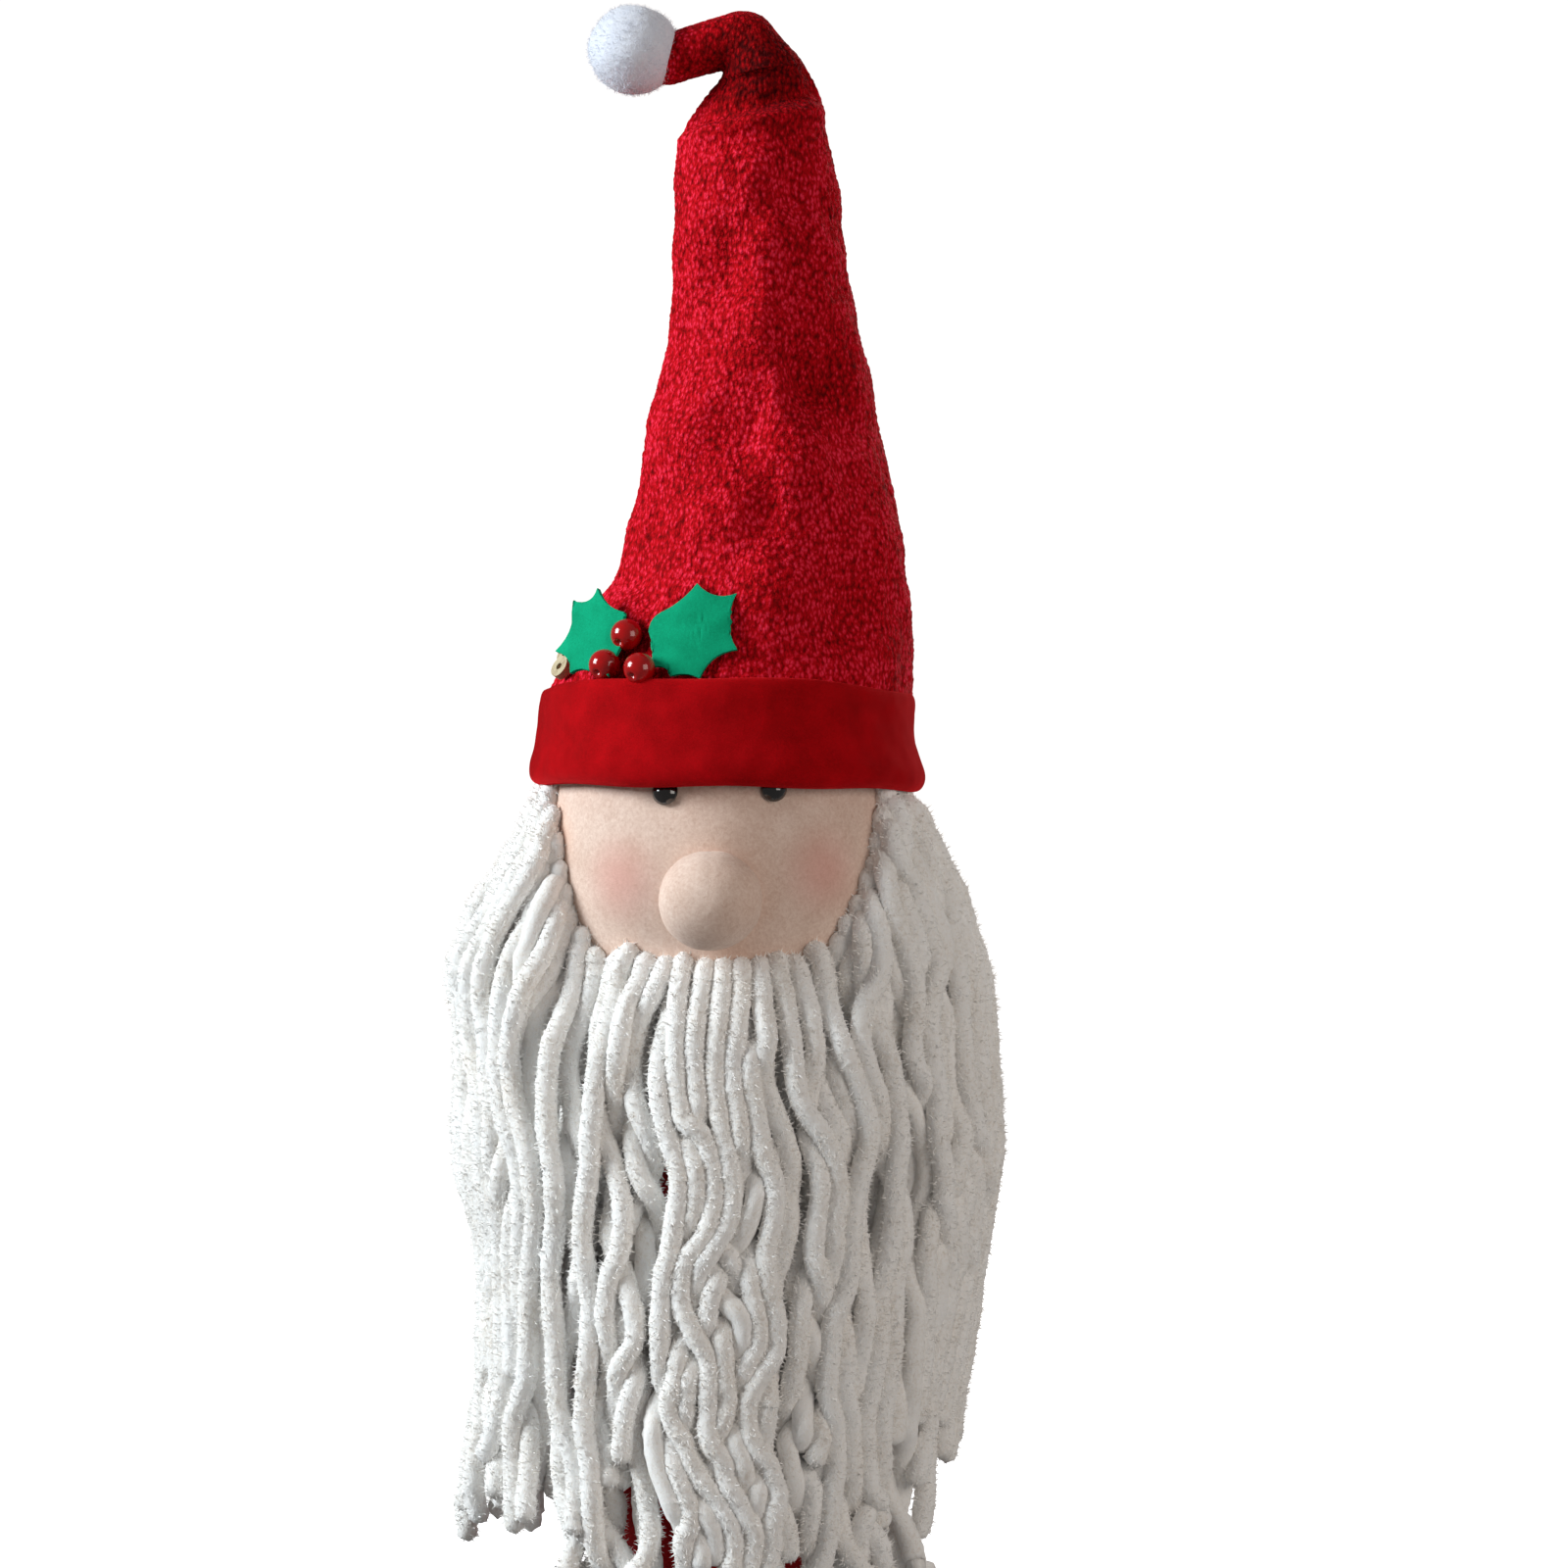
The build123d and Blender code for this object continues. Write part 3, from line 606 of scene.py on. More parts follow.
lumps = 0.35 * soft_noise(ball * MM, 9 * MM, 7.7) + 0.06 * soft_noise(ball * MM, 2 * MM, 2.7)
ball *= 1 + ((pucker + lumps - 0.3 * top_seam) / 15)[:, :, None]
nose_skin = show("nose_fleece", ring_mesh("nose", ball * MM + nose_centre), skin)
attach(nose_skin, "root")
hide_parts("nose_skin", "nose_filling")
print("nose points", len(nose_skin.data.vertices))

# %% [markdown]
# ## Body
# Under the beard stands a sack of red fleece, tied in at the neck and flat on its base. It shows
# only in the gaps of the beard and from behind, where its side seams and gathers can be seen.

# %% Body sack
body_rows = [
    (0.0, 30.0), (0.6, 35.0), (3.5, 37.4), (10.0, 38.8), (45.0, 41.6), (95.0, 46.0), (125.0, 45.2),
    (142.0, 42.0), (156.0, 37.4), (165.0, 34.0), (172.0, 34.5), (178.0, 38.0),
]
body_z = np.concatenate([np.linspace(0, 4, 10), np.linspace(5, 178, 150)])
body_turn = np.linspace(0, 2 * pi, 260, endpoint=False)
body_r = through_rows(body_rows, body_z)[:, 0]
body = np.zeros((len(body_z), len(body_turn), 3))
body[:, :, 0] = body_r[:, None] * np.cos(body_turn)
body[:, :, 1] = body_r[:, None] * np.sin(body_turn)
body[:, :, 2] = body_z[:, None]
gather_wave = np.sin(26 * body_turn + 2 * np.sin(3 * body_turn))
gathers = np.clip((body_z - 118) / 47, 0, 1)[:, None] ** 1.5 * 0.9 * gather_wave
side_seam = -0.9 * sum(np.exp(-((np.angle(np.exp(1j * (body_turn - a))) / 0.03) ** 2)) for a in (0.0, pi))
body_lumps = 0.9 * soft_noise(body * MM, 26 * MM, 5.9) + 0.12 * soft_noise(body * MM, 2.4 * MM, 3.3)
firm = np.clip(body_z / 12, 0, 1)[:, None]
body[:, :, :2] *= 1 + (((gathers + side_seam[None, :] + body_lumps) * firm) / body_r[:, None])[:, :, None]
red_fleece = fleece("red fleece", (0.30, 0.002, 0.004, 1), (0.58, 0.012, 0.016, 1))
body_piece = show("body_fleece", ring_mesh("body", body * MM), red_fleece)
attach(body_piece, "root")
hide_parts("body_sack", "base_panel", "body_filling")
print("body rings", len(body_z))

# %% [markdown]
# ## Holly leaves
# Each leaf is cut from one layer of green felt with sharp spines and hollow sides between them.
# The outline is the spines and the deepest point of each hollow, joined by arcs. It is filled,
# cut finely, laid over the hat's curve with a raised middle, and then given the felt's thickness.
# The corners are given as they look from the camera, so each point moves inwards as it comes nearer.

# %% Leaf mesh
def leaf_outline(corners, steps=7):
    """Points along arcs from spine to spine; each corner is (x, z) and how far its side sinks."""
    points = []
    for i, (x, z, sink) in enumerate(corners):
        after = corners[(i + 1) % len(corners)]
        run = Vector((after[0] - x, after[1] - z))
        inward = Vector((run.y, -run.x)).normalized()
        for k in range(steps):
            t = k / steps
            points.append(Vector((x, z)) + run * t + inward * sink * 4 * t * (1 - t))
    return points


def leaf(name, corners, stand, vein):
    """One felt leaf over the front of the hat."""
    builder = bmesh.new()
    corner_points = [builder.verts.new((p.x, 0, p.y)) for p in leaf_outline(corners)]
    outline = builder.faces.new(corner_points)
    bmesh.ops.triangulate(builder, faces=[outline])
    for _ in range(3):
        bmesh.ops.subdivide_edges(builder, edges=builder.edges[:], cuts=1, use_grid_fill=True)
    for vert in builder.verts:
        x, z = vert.co.x, vert.co.z
        row = np.interp(z, hat_edges[:peak_row, 1] / MM, hat_edges[:peak_row, 4] / MM)
        left = np.interp(z, hat_edges[:peak_row, 1] / MM, hat_edges[:peak_row, 0] / MM)
        right = np.interp(z, hat_edges[:peak_row, 3] / MM, hat_edges[:peak_row, 2] / MM)
        across = (x - (left + right) / 2) / ((right - left) / 2 + (12 if x < -25 else 7))
        surface_y = -row * sqrt(max(0.16, 1 - across**2))
        along = (x - vein[0]) * vein[2] - (z - vein[1]) * vein[3]
        fold = -0.5 * np.exp(-((along / 2.2) ** 2))
        wave = 0.5 * noise.noise(Vector((x, z, 4)) / 7)
        vert.co.y = surface_y - stand + fold + wave
        nearer = 1 + vert.co.y / view_far
        vert.co.x = view_x + (x - view_x) * nearer
        vert.co.z = view_z + (z - view_z) * nearer
    sheet_mesh = bpy.data.meshes.new(name)
    bmesh.ops.recalc_face_normals(builder, faces=builder.faces[:])
    builder.to_mesh(sheet_mesh)
    builder.free()
    sheet_mesh.transform(Matrix.Scale(MM, 4))
    flat_leaf = bpy.data.objects.new(name, sheet_mesh)
    scene.collection.objects.link(flat_leaf)
    thick = flat_leaf.modifiers.new("felt", "SOLIDIFY")
    thick.thickness = 1.3 * MM
    thick.offset = 0
    soften = flat_leaf.modifiers.new("edge", "BEVEL")
    soften.width = 0.3 * MM
    soften.segments = 2
    soften.limit_method = "ANGLE"
    soften.angle_limit = radians(50)
    done = bpy.data.meshes.new_from_object(flat_leaf.evaluated_get(bpy.context.evaluated_depsgraph_get()))
    bpy.data.objects.remove(flat_leaf)
    done.shade_smooth()
    return done


left_corners = [
    (-38.1, 303.4, 1.6), (-30.0, 296.0, 0.2), (-31.0, 286.0, 0.2), (-35.0, 276.5, 0.4), (-41.2, 278.3, 0.7),
    (-46.4, 277.4, 1.7), (-51.0, 284.0, 2.2), (-45.8, 299.6, 2.3),
]
right_corners = [
    (-7.8, 304.9, 2.3), (4.3, 301.9, 2.6), (4.3, 284.6, 2.2), (-7.2, 275.9, 0.8), (-15.4, 276.7, 1.1),
    (-21.2, 279.4, 0.5), (-22.6, 290.0, -1.0), (-18.8, 296.0, 0.9),
]
green_felt = felt("green felt", (0.001, 0.20, 0.09, 1), (0.006, 0.46, 0.235, 1), 0.35, 0.4)
leaf_left = show("leaf_left", leaf("leaf_left", left_corners, 2.3, (-35.7, 290, 1.0, 0.05)), green_felt)
leaf_right = show("leaf_right", leaf("leaf_right", right_corners, 2.2, (-9, 291, 0.35, 1.0)), green_felt)
for piece, node in ((leaf_left, "holly_leaf_left"), (leaf_right, "holly_leaf_right")):
    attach(piece, "root")
    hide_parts(node)
print("leaf faces", len(leaf_left.data.polygons), len(leaf_right.data.polygons))

# %% [markdown]
# ## Berries, eyes and toggle
# The berries are lacquered wooden beads, so each has the dimple of its bore and a clear coat over
# the red. The eyes and the wooden toggle are hard, and the solid model's own shapes are right,
# so they stay and only get their finishes.

# %% Berries
lacquer = Finish("red lacquer", {"Roughness": 0.16, "Coat Weight": 0.6, "Coat Roughness": 0.04})
lacquer.shader.inputs["Specular IOR Level"].default_value = 0.3
lacquer_tone = lacquer.mix(lacquer.noise(2.2 * MM, 3.0), (0.26, 0.001, 0.0015, 1), (0.5, 0.003, 0.004, 1))
lacquer_skin = lacquer.bump(lacquer.noise(1.2 * MM), 0.05 * MM, 0.4)
lacquer_red = lacquer.surface(Base_Color=lacquer_tone, Normal=lacquer_skin)
bead_shift = np.array((3.4, -1.9, -2.4)) * MM
bead_rings = 36
bead_sides = 56
for name in ("berry_top", "berry_left", "berry_right"):
    low, high = (np.array(v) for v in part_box(name))
    size = (high - low).max() / 2
    centre = (low + high) / 2 + bead_shift
    rise_angle = np.linspace(-pi / 2 + 0.05, pi / 2 - 0.05, bead_rings)
    around = np.linspace(0, 2 * pi, bead_sides, endpoint=False)
    bead = np.zeros((bead_rings, bead_sides, 3))
    dimple = 1 - 0.30 * np.exp(-(((pi / 2 - rise_angle) / 0.2) ** 2))
    bead[:, :, 0] = (np.cos(rise_angle))[:, None] * np.cos(around)
    bead[:, :, 2] = (np.cos(rise_angle))[:, None] * np.sin(around)
    bead[:, :, 1] = -(np.sin(rise_angle) * dimple)[:, None]
    lean = np.array(Matrix.Rotation(radians(38), 3, "X") @ Matrix.Rotation(radians(-30), 3, "Z"))
    berry = show(name + "_bead", ring_mesh(name, bead @ lean.T * size + centre), lacquer_red)
    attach(berry, "root")
    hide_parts(name)
print("berry radius", round(size / MM, 2), "mm")

# %% Hard parts that stay
eye_gloss = Finish("eye resin", {"Roughness": 0.07, "Coat Weight": 1.0, "Coat Roughness": 0.03})
eye_tone = eye_gloss.mix(eye_gloss.noise(2 * MM), (0.004, 0.003, 0.003, 1), (0.012, 0.009, 0.008, 1))
wood = Finish("pale wood", {"Roughness": 0.55})
grain = wood.noise(1.6 * MM, 4.0, 0.6, wood.stretch((1, 1, 0.18), (0, 0.5, 0)), 0.6)
wood_tone = wood.colours(grain, [(0.3, (0.34, 0.25, 0.13, 1)), (0.7, (0.66, 0.56, 0.36, 1))])
plain_steel = Finish("bright wire", {"Metallic": 1.0, "Roughness": 0.35})
steel_tone = plain_steel.mix(plain_steel.noise(3 * MM), (0.5, 0.5, 0.5, 1), (0.66, 0.66, 0.65, 1))
calico = Finish("calico and card", {"Roughness": 0.95})
calico_weave = calico.noise(0.8 * MM, 3.0, 0.6, calico.stretch((1, 0.3, 1)))
calico_tone = calico.mix(calico_weave, (0.6, 0.52, 0.4, 1), (0.82, 0.76, 0.66, 1))
kept_finishes = {
    "eye_left": eye_gloss.surface(Base_Color=eye_tone),
    "wood_toggle": wood.surface(Base_Color=wood_tone, Normal=wood.bump(grain, 0.15 * MM, 0.5)),
    "hat_wire": plain_steel.surface(Base_Color=steel_tone),
    "weight_bag": calico.surface(Base_Color=calico_tone, Normal=calico.bump(calico_weave, 0.2 * MM)),
}
same_finish = {
    "eye_left": ("eye_right",),
    "hat_wire": ("crown_wire", "tip_wire"),
    "weight_bag": ("weight_sand", "base_card", "beard_backing", "eye_washer_left", "eye_washer_right"),
}
for first, finish in kept_finishes.items():
    for name in (first, *same_finish.get(first, ())):
        node = bpy.data.objects[name]
        node.data.materials.clear()
        node.data.materials.append(finish)
print("kept solids", sum(1 + len(v) for v in same_finish.values()) + 1)

# %% [markdown]
# ## Geometry Nodes for what repeats
# The pompom's wool hairs and the pile of the yarn are the same small shape many times over, and a
# strand of yarn is one section drawn along a path. Geometry Nodes do both: the tree is built once
# with named sizes, put on each piece as a modifier, and the result is taken as a plain mesh.

# %% Geometry trees
class Maker(Graph):
    """A Geometry Nodes tree with one geometry input and named sizes."""

    def __init__(self, name, sizes):
        super().__init__(bpy.data.node_groups.new(name, "GeometryNodeTree"))
        face_of = self.tree.interface
        face_of.new_socket("Geometry", in_out="INPUT", socket_type="NodeSocketGeometry")
        for size, kind in sizes.items():
            face_of.new_socket(size, in_out="INPUT", socket_type=kind)
        face_of.new_socket("Geometry", in_out="OUTPUT", socket_type="NodeSocketGeometry")
        group = self.tree.nodes.new("NodeGroupInput")
        self.given = {s.name: Value(self, s) for s in group.outputs if s.name}

    def finish_with(self, geometry):
        whole = self.node("GeometryNodeRealizeInstances", None, {"Geometry": geometry})["Geometry"]
        inputs = {"Geometry": whole, "Material": self.given["Material"]}
        dyed = self.node("GeometryNodeSetMaterial", None, inputs)["Geometry"]
        out = self.tree.nodes.new("NodeGroupOutput")
        self.join(dyed, out.inputs["Geometry"])

    def run(self, mesh, values):
        """The mesh that the tree makes from this mesh and these sizes."""
        carrier = bpy.data.objects.new("carrier", mesh)
        scene.collection.objects.link(carrier)
        modifier = carrier.modifiers.new("maker", "NODES")
        modifier.node_group = self.tree
        for item in self.tree.interface.items_tree:
            if item.in_out == "INPUT" and item.name in values:
                modifier[item.identifier] = values[item.name]
        ready = carrier.evaluated_get(bpy.context.evaluated_depsgraph_get())
        made = bpy.data.meshes.new_from_object(ready)
        carrier.modifiers.clear()
        bpy.data.objects.remove(carrier)
        return made


FLOAT, INT, MATERIAL = "NodeSocketFloat", "NodeSocketInt", "NodeSocketMaterial"

# %% Hairs on a surface
def hairs_over(maker, surface):
    """Short hairs scattered over a surface, from the maker's own named sizes."""
    given = maker.given
    spread = maker.node("GeometryNodeDistributePointsOnFaces", {"distribute_method": "RANDOM"}, {
        "Mesh": surface, "Density": given["Hairs per area"], "Seed": given["Seed"],
    })
    hair_shape = maker.node("GeometryNodeMeshCone", {"fill_type": "NONE"}, {
        "Vertices": 3, "Side Segments": 1, "Radius Top": 0.0,
        "Radius Bottom": given["Hair thickness"], "Depth": given["Hair length"],
    })["Mesh"]
    wander = maker.node("FunctionNodeRandomValue", {"data_type": "FLOAT_VECTOR"}, {
        "Min": (-1, -1, -1), "Max": (1, 1, 1), "Seed": given["Seed"],
    })["Value"]
    leaning = maker.node("ShaderNodeVectorMath", {"operation": "SCALE"}, {0: wander, "Scale": given["Lean"]})
    inputs = {0: spread["Normal"], 1: leaning["Vector"]}
    direction = maker.node("ShaderNodeVectorMath", {"operation": "ADD"}, inputs)["Vector"]
    aim = maker.node("FunctionNodeAlignRotationToVector", {"axis": "Z"}, {"Vector": direction})["Rotation"]
    length_range = {"Min": 0.5, "Max": 1.2, "Seed": 7}
    longer = maker.node("FunctionNodeRandomValue", {"data_type": "FLOAT"}, length_range)
    return maker.node("GeometryNodeInstanceOnPoints", None, {
        "Points": spread["Points"], "Instance": hair_shape, "Rotation": aim, "Scale": longer["Value"],
    })["Instances"]


hair_sizes = {
    "Hairs per area": FLOAT, "Hair length": FLOAT, "Hair thickness": FLOAT, "Lean": FLOAT, "Seed": INT,
}
hair_maker = Maker("hairs", {**hair_sizes, "Material": MATERIAL})
hair_maker.finish_with(hairs_over(hair_maker, hair_maker.given["Geometry"]))
print("hair tree nodes", len(hair_maker.tree.nodes))


def joined(name, meshes):
    """One mesh from several, keeping their own attributes."""
    parts = []
    for mesh in meshes:
        part = bpy.data.objects.new(name, mesh)
        scene.collection.objects.link(part)
        parts.append(part)
    with bpy.context.temp_override(active_object=parts[0], selected_editable_objects=parts):
        bpy.ops.object.join()
    whole = parts[0].data
    bpy.data.objects.remove(parts[0])
    return whole


# %% [markdown]
# ## Pompom
# The pompom is a ball of felted wool: dense and almost smooth, with a haze of short hairs.
# A lumpy ball carries the hairs that the tree scatters over it.

# %% Pompom
pompom_low, pompom_high = (np.array(v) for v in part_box("pompom"))
pompom_centre = (pompom_low + pompom_high) / 2
pompom_size = (pompom_high - pompom_low).max() / 2
wool = Finish("white wool", {"Roughness": 0.95, "Sheen Weight": 0.5, "Sheen Roughness": 0.5})
wool_felted = wool.noise(0.9 * MM, 5.0, 0.65, distortion=1.2)
wool_tone = wool.colours(wool_felted * 0.6 + wool.noise(5 * MM) * 0.4, [
    (0.32, (0.70, 0.735, 0.84, 1)),
    (0.68, (0.85, 0.875, 0.95, 1)),
])
white_wool = wool.surface(Base_Color=wool_tone, Normal=wool.bump(wool_felted, 0.5 * MM, 0.6))
wool_rings = 110
wool_sides = 170
wool_rise = np.linspace(-pi / 2 + 0.03, pi / 2 - 0.03, wool_rings)
wool_turn = np.linspace(0, 2 * pi, wool_sides, endpoint=False)
wool_ball = np.zeros((wool_rings, wool_sides, 3))
wool_ball[:, :, 0] = np.cos(wool_rise)[:, None] * np.cos(wool_turn)
wool_ball[:, :, 1] = np.cos(wool_rise)[:, None] * np.sin(wool_turn)
wool_ball[:, :, 2] = np.sin(wool_rise)[:, None]
wool_lumps = 0.55 * soft_noise(wool_ball * pompom_size, 9 * MM, 2.9)
wool_lumps = wool_lumps + 0.12 * soft_noise(wool_ball * pompom_size, 1.6 * MM, 6.6)
wool_ball = wool_ball * (pompom_size - 0.45 * MM + wool_lumps[:, :, None] * MM) + pompom_centre
wool_mesh = ring_mesh("wool", wool_ball)
wool_hairs = hair_maker.run(wool_mesh.copy(), {
    "Hairs per area": 1.6e6, "Hair length": 1.5 * MM, "Hair thickness": 0.055 * MM, "Lean": 0.85,
    "Seed": 5, "Material": white_wool,
})
wool_mesh.materials.append(white_wool)
pompom = show("pompom_wool", joined("pompom", [wool_mesh, wool_hairs]), white_wool)
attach(pompom, "hat_tip")
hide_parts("pompom")
print("pompom faces", len(pompom.data.polygons))

# %% [markdown]
# ## Beard yarn
# The beard is chenille yarn, six and a half millimetres thick, sewn on round the face. Along the
# chin each length is folded over its stitch, which leaves a loop. On the cheeks the lengths start
# at the edge of the face and at rows behind it, bow outwards over each other and hang down.
# Every length is a path. It starts from where it is sewn and from the beard's outline, and then a
# small simulation of limp rods settles all of them together: each keeps its length and its own
# waviness, falls, and pushes its neighbours aside.

# %% Where the yarn is sewn
yarn_radius = 3.3 * MM
rng = np.random.default_rng(17)
outline_left = [
    (0, 79.5), (25, 82.5), (34, 80.5), (64, 75.5), (94, 74.6), (106, 76), (124, 81.8), (139, 82.8),
    (166, 82), (175, 82.8), (188, 85.6), (194, 84.6), (202, 80.4), (212, 74.4), (223, 65.6), (243, 54.5),
]
outline_right = [
    (0, 70), (38, 73), (52, 72.8), (68, 75.6), (82, 78), (106, 81.6), (124, 85.2), (145, 85.6),
    (166, 84), (184, 82.3), (199, 78.6), (214, 74), (229, 66.6), (243, 57),
]
outline_deep = [(0, 58), (50, 60), (100, 63), (140, 63), (185, 60.5), (205, 58), (224, 56.8), (243, 56.2)]
edge_left = [(-51.0, 241), (-48.2, 220), (-45.0, 203), (-37.0, 192), (-31.5, 187)]
edge_right = [(47.5, 241), (44.6, 219), (38.0, 204), (34.0, 196), (30.5, 189)]
locks = {
    "beard_side_left": (-95, -55), "beard_front_left": (-55, -20), "beard_centre": (-20, 20),
    "beard_front_right": (20, 55), "beard_side_right": (55, 95),
}


def head_radius(z):
    """The face's radius at a height, and the body's below it."""
    up = np.clip(1 - ((z - 225) / 75) ** 2, 0, 1)
    body = np.interp(z, [0, 45, 95, 138, 166, 178], [38, 42, 46, 43.5, 34, 30])
    return np.maximum(54.4 * np.sqrt(up), body)


def beard_reach(angle, z):
    """How far out the beard's outline is at an angle from the front and a height, in mm."""
    half = np.where(angle < 0, np.interp(z, *zip(*outline_left)), np.interp(z, *zip(*outline_right)))
    deep = np.interp(z, *zip(*outline_deep))
    return 1 / np.sqrt((np.sin(angle) / half) ** 2 + (np.cos(angle) / deep) ** 2)


cheek_count = 8
cheek_rows = 6
row_gap = 6.4
chin_count = 11
chin_rows = 3
chin_step = 7.0
sewn = []
for edge, side in ((edge_left, -1), (edge_right, 1)):
    edge = np.array(edge, float)
    places = np.concatenate([[0], np.cumsum(np.hypot(*np.diff(edge, axis=0).T))])
    for row in range(cheek_rows):
        for i in range(cheek_count):
            at = (i + (0.5 if row % 2 else 0.0)) / cheek_count * places[-1]
            x, z = (np.interp(at, places, edge[:, k]) for k in (0, 1))
            radius = head_radius(z)
            angle = atan2(abs(x), sqrt(max(radius**2 - x**2, 1))) + row * row_gap / radius
            if angle < radians(96):
                sewn.append({"angle": side * angle, "z": z + rng.normal(0, 0.7), "row": row, "chin": False})
for row in range(chin_rows):
    for i in range(chin_count + (row % 2)):
        turn = (i - (chin_count - 1 + row % 2) / 2) * chin_step
        low_z = 184.6 + 0.0035 * turn**2 - row * 3.0 + rng.normal(0, 0.6)
        sewn.append({"angle": radians(turn + rng.normal(0, 0.5)), "z": low_z, "row": row, "chin": True})
print("lengths of yarn", len(sewn))

# %% First paths
node_count = 64
short_share = 0.36
wander_share = 0.5
sunk_share = 0.45
layer_gap = 5.2
sewn.sort(key=lambda s: (round(abs(s["angle"]) / 0.11), s["z"]))


def first_path(place):
    """The path of one length before it settles, as points in millimetres."""
    angle, top = place["angle"], place["z"]
    degrees = abs(angle) * 180 / pi
    foot = rng.uniform(-6, 3) + (rng.uniform(8, 38) if rng.random() < short_share else 0)
    if angle > 0 and degrees > 60:
        foot = 40 + rng.uniform(-4, 9) if degrees < 88 else 30 + rng.uniform(0, 12)
    elif angle < 0 and degrees > 60:
        foot = 14 + rng.uniform(0, 9) + (rng.uniform(12, 52) if rng.random() < 0.4 else 0)
    z = np.linspace(top, foot, 220)
    fallen = top - z
    phases = rng.uniform(0, 2 * pi, 6)
    grow = np.clip(fallen / 48, 0, 1)
    long_wave = rng.uniform(2.5, 7.5) * np.sin(fallen / rng.uniform(16, 27) + phases[0])
    sway = (long_wave + 1.3 * np.sin(fallen / 7.5 + phases[1])) * grow
    drift = rng.normal(0, 6.0) + (rng.normal(0, 17) if rng.random() < wander_share else 0)
    sway += drift * grow * np.clip(fallen / 150, 0, 1)
    ripple = 2.3 * np.sin(fallen / rng.uniform(11, 19) + phases[2]) + 0.8 * np.sin(fallen / 6.0 + phases[3])
    foot_angle = angle * (0.97 if place["chin"] else 1.0)
    outline = beard_reach(np.full_like(z, foot_angle), z) - yarn_radius / MM
    depth_in = place["layer"] * layer_gap + rng.uniform(-1.5, 1.5) + (5.0 if rng.random() < sunk_share else 0)
    start = head_radius(z) + yarn_radius / MM
    full = np.maximum(outline - depth_in, np.maximum(start, 50.0 + yarn_radius / MM * 0.3))
    ease = np.clip(fallen / (26 if place["chin"] else 34), 0, 1)
    ease = ease * ease * (3 - 2 * ease)
    radius = head_radius(top) + yarn_radius / MM * 0.6
    radius = radius * (1 - ease) + full * ease
    radius = np.maximum(radius, start * np.clip(fallen / 5, 0, 1)) + ripple * grow
    turned = foot_angle + sway / radius
    points = np.stack([radius * np.sin(turned), -radius * np.cos(turned), z], 1)
    if place["chin"]:
        lift = radius[0]
        hook = [(-4.2, -3.0), (-4.0, 0.6), (-1.6, 3.4), (1.6, 3.0)]
        hook = [(lift + out, top + up) for out, up in hook]
        over = np.array([(r * sin(foot_angle), -r * cos(foot_angle), h) for r, h in hook])
        keep = points[fallen > 3.5]
        points = np.concatenate([over, keep])
    else:
        inside = radius[0] - 3.0
        root = np.array([[inside * sin(angle), -inside * cos(angle), top + 1.5]])
        points = np.concatenate([root, points])
    length = np.concatenate([[0], np.cumsum(np.linalg.norm(np.diff(points, axis=0), axis=1))])
    even = np.linspace(0, length[-1], node_count)
    return np.stack([np.interp(even, length, points[:, k]) for k in range(3)], 1)


columns = {}
for place in sorted(sewn, key=lambda s: -s["z"]):
    key = (place["angle"] > 0, round(abs(place["angle"]) * 180 / pi / 6.5))
    place["layer"] = place["row"] if place["chin"] else columns.get(key, 0)
    columns[key] = columns.get(key, 0) + 1
yarn = np.array([first_path(place) for place in sewn])
reaches = np.linalg.norm(np.diff(yarn, axis=1), axis=2)
print("yarn points", yarn.shape, "longest", round(reaches.sum(axis=1).max()), "mm")

# %% Settling
closest_share = 0.86
floor_gap = 2.2
fall_per_round = 0.12
bend_stiffness = 0.42
push_share = 0.8
wedge_of = []
for place in sewn:
    degrees = place["angle"] * 180 / pi
    wedge_of.append(next(n for n, (a, b) in locks.items() if a <= degrees < b or (degrees >= 95 and b == 95)
                         or (degrees < -95 and a == -95)))
low_side = np.radians([locks[n][0] for n in wedge_of])
high_side = np.radians([locks[n][1] for n in wedge_of])


def push_apart(points, thickness, owner):
    """Move the points of different lengths apart where they overlap, half each."""
    order = np.argsort(points[:, 2])
    sorted_points = points[order]
    sorted_owner = owner[order]
    moves = np.zeros_like(sorted_points)
    for step in range(1, len(order)):
        gap = sorted_points[step:] - sorted_points[:-step]
        near = gap[:, 2] < thickness
        if not near.any():
            break
        distance = np.linalg.norm(gap, axis=1)
        near &= (distance < thickness) & (sorted_owner[step:] != sorted_owner[:-step])
        if near.any():
            index = np.nonzero(near)[0]
            push = gap[index] / np.maximum(distance[index], 1e-6)[:, None]
            push *= ((thickness - distance[index]) * 0.5)[:, None]
            np.add.at(moves, index, -push)
            np.add.at(moves, index + step, push)
    size = np.linalg.norm(moves, axis=1, keepdims=True)
    moves *= np.minimum(1, 1.5 / np.maximum(size, 1e-6))
    back_in_order = np.zeros_like(moves)
    back_in_order[order] = moves
    return back_in_order


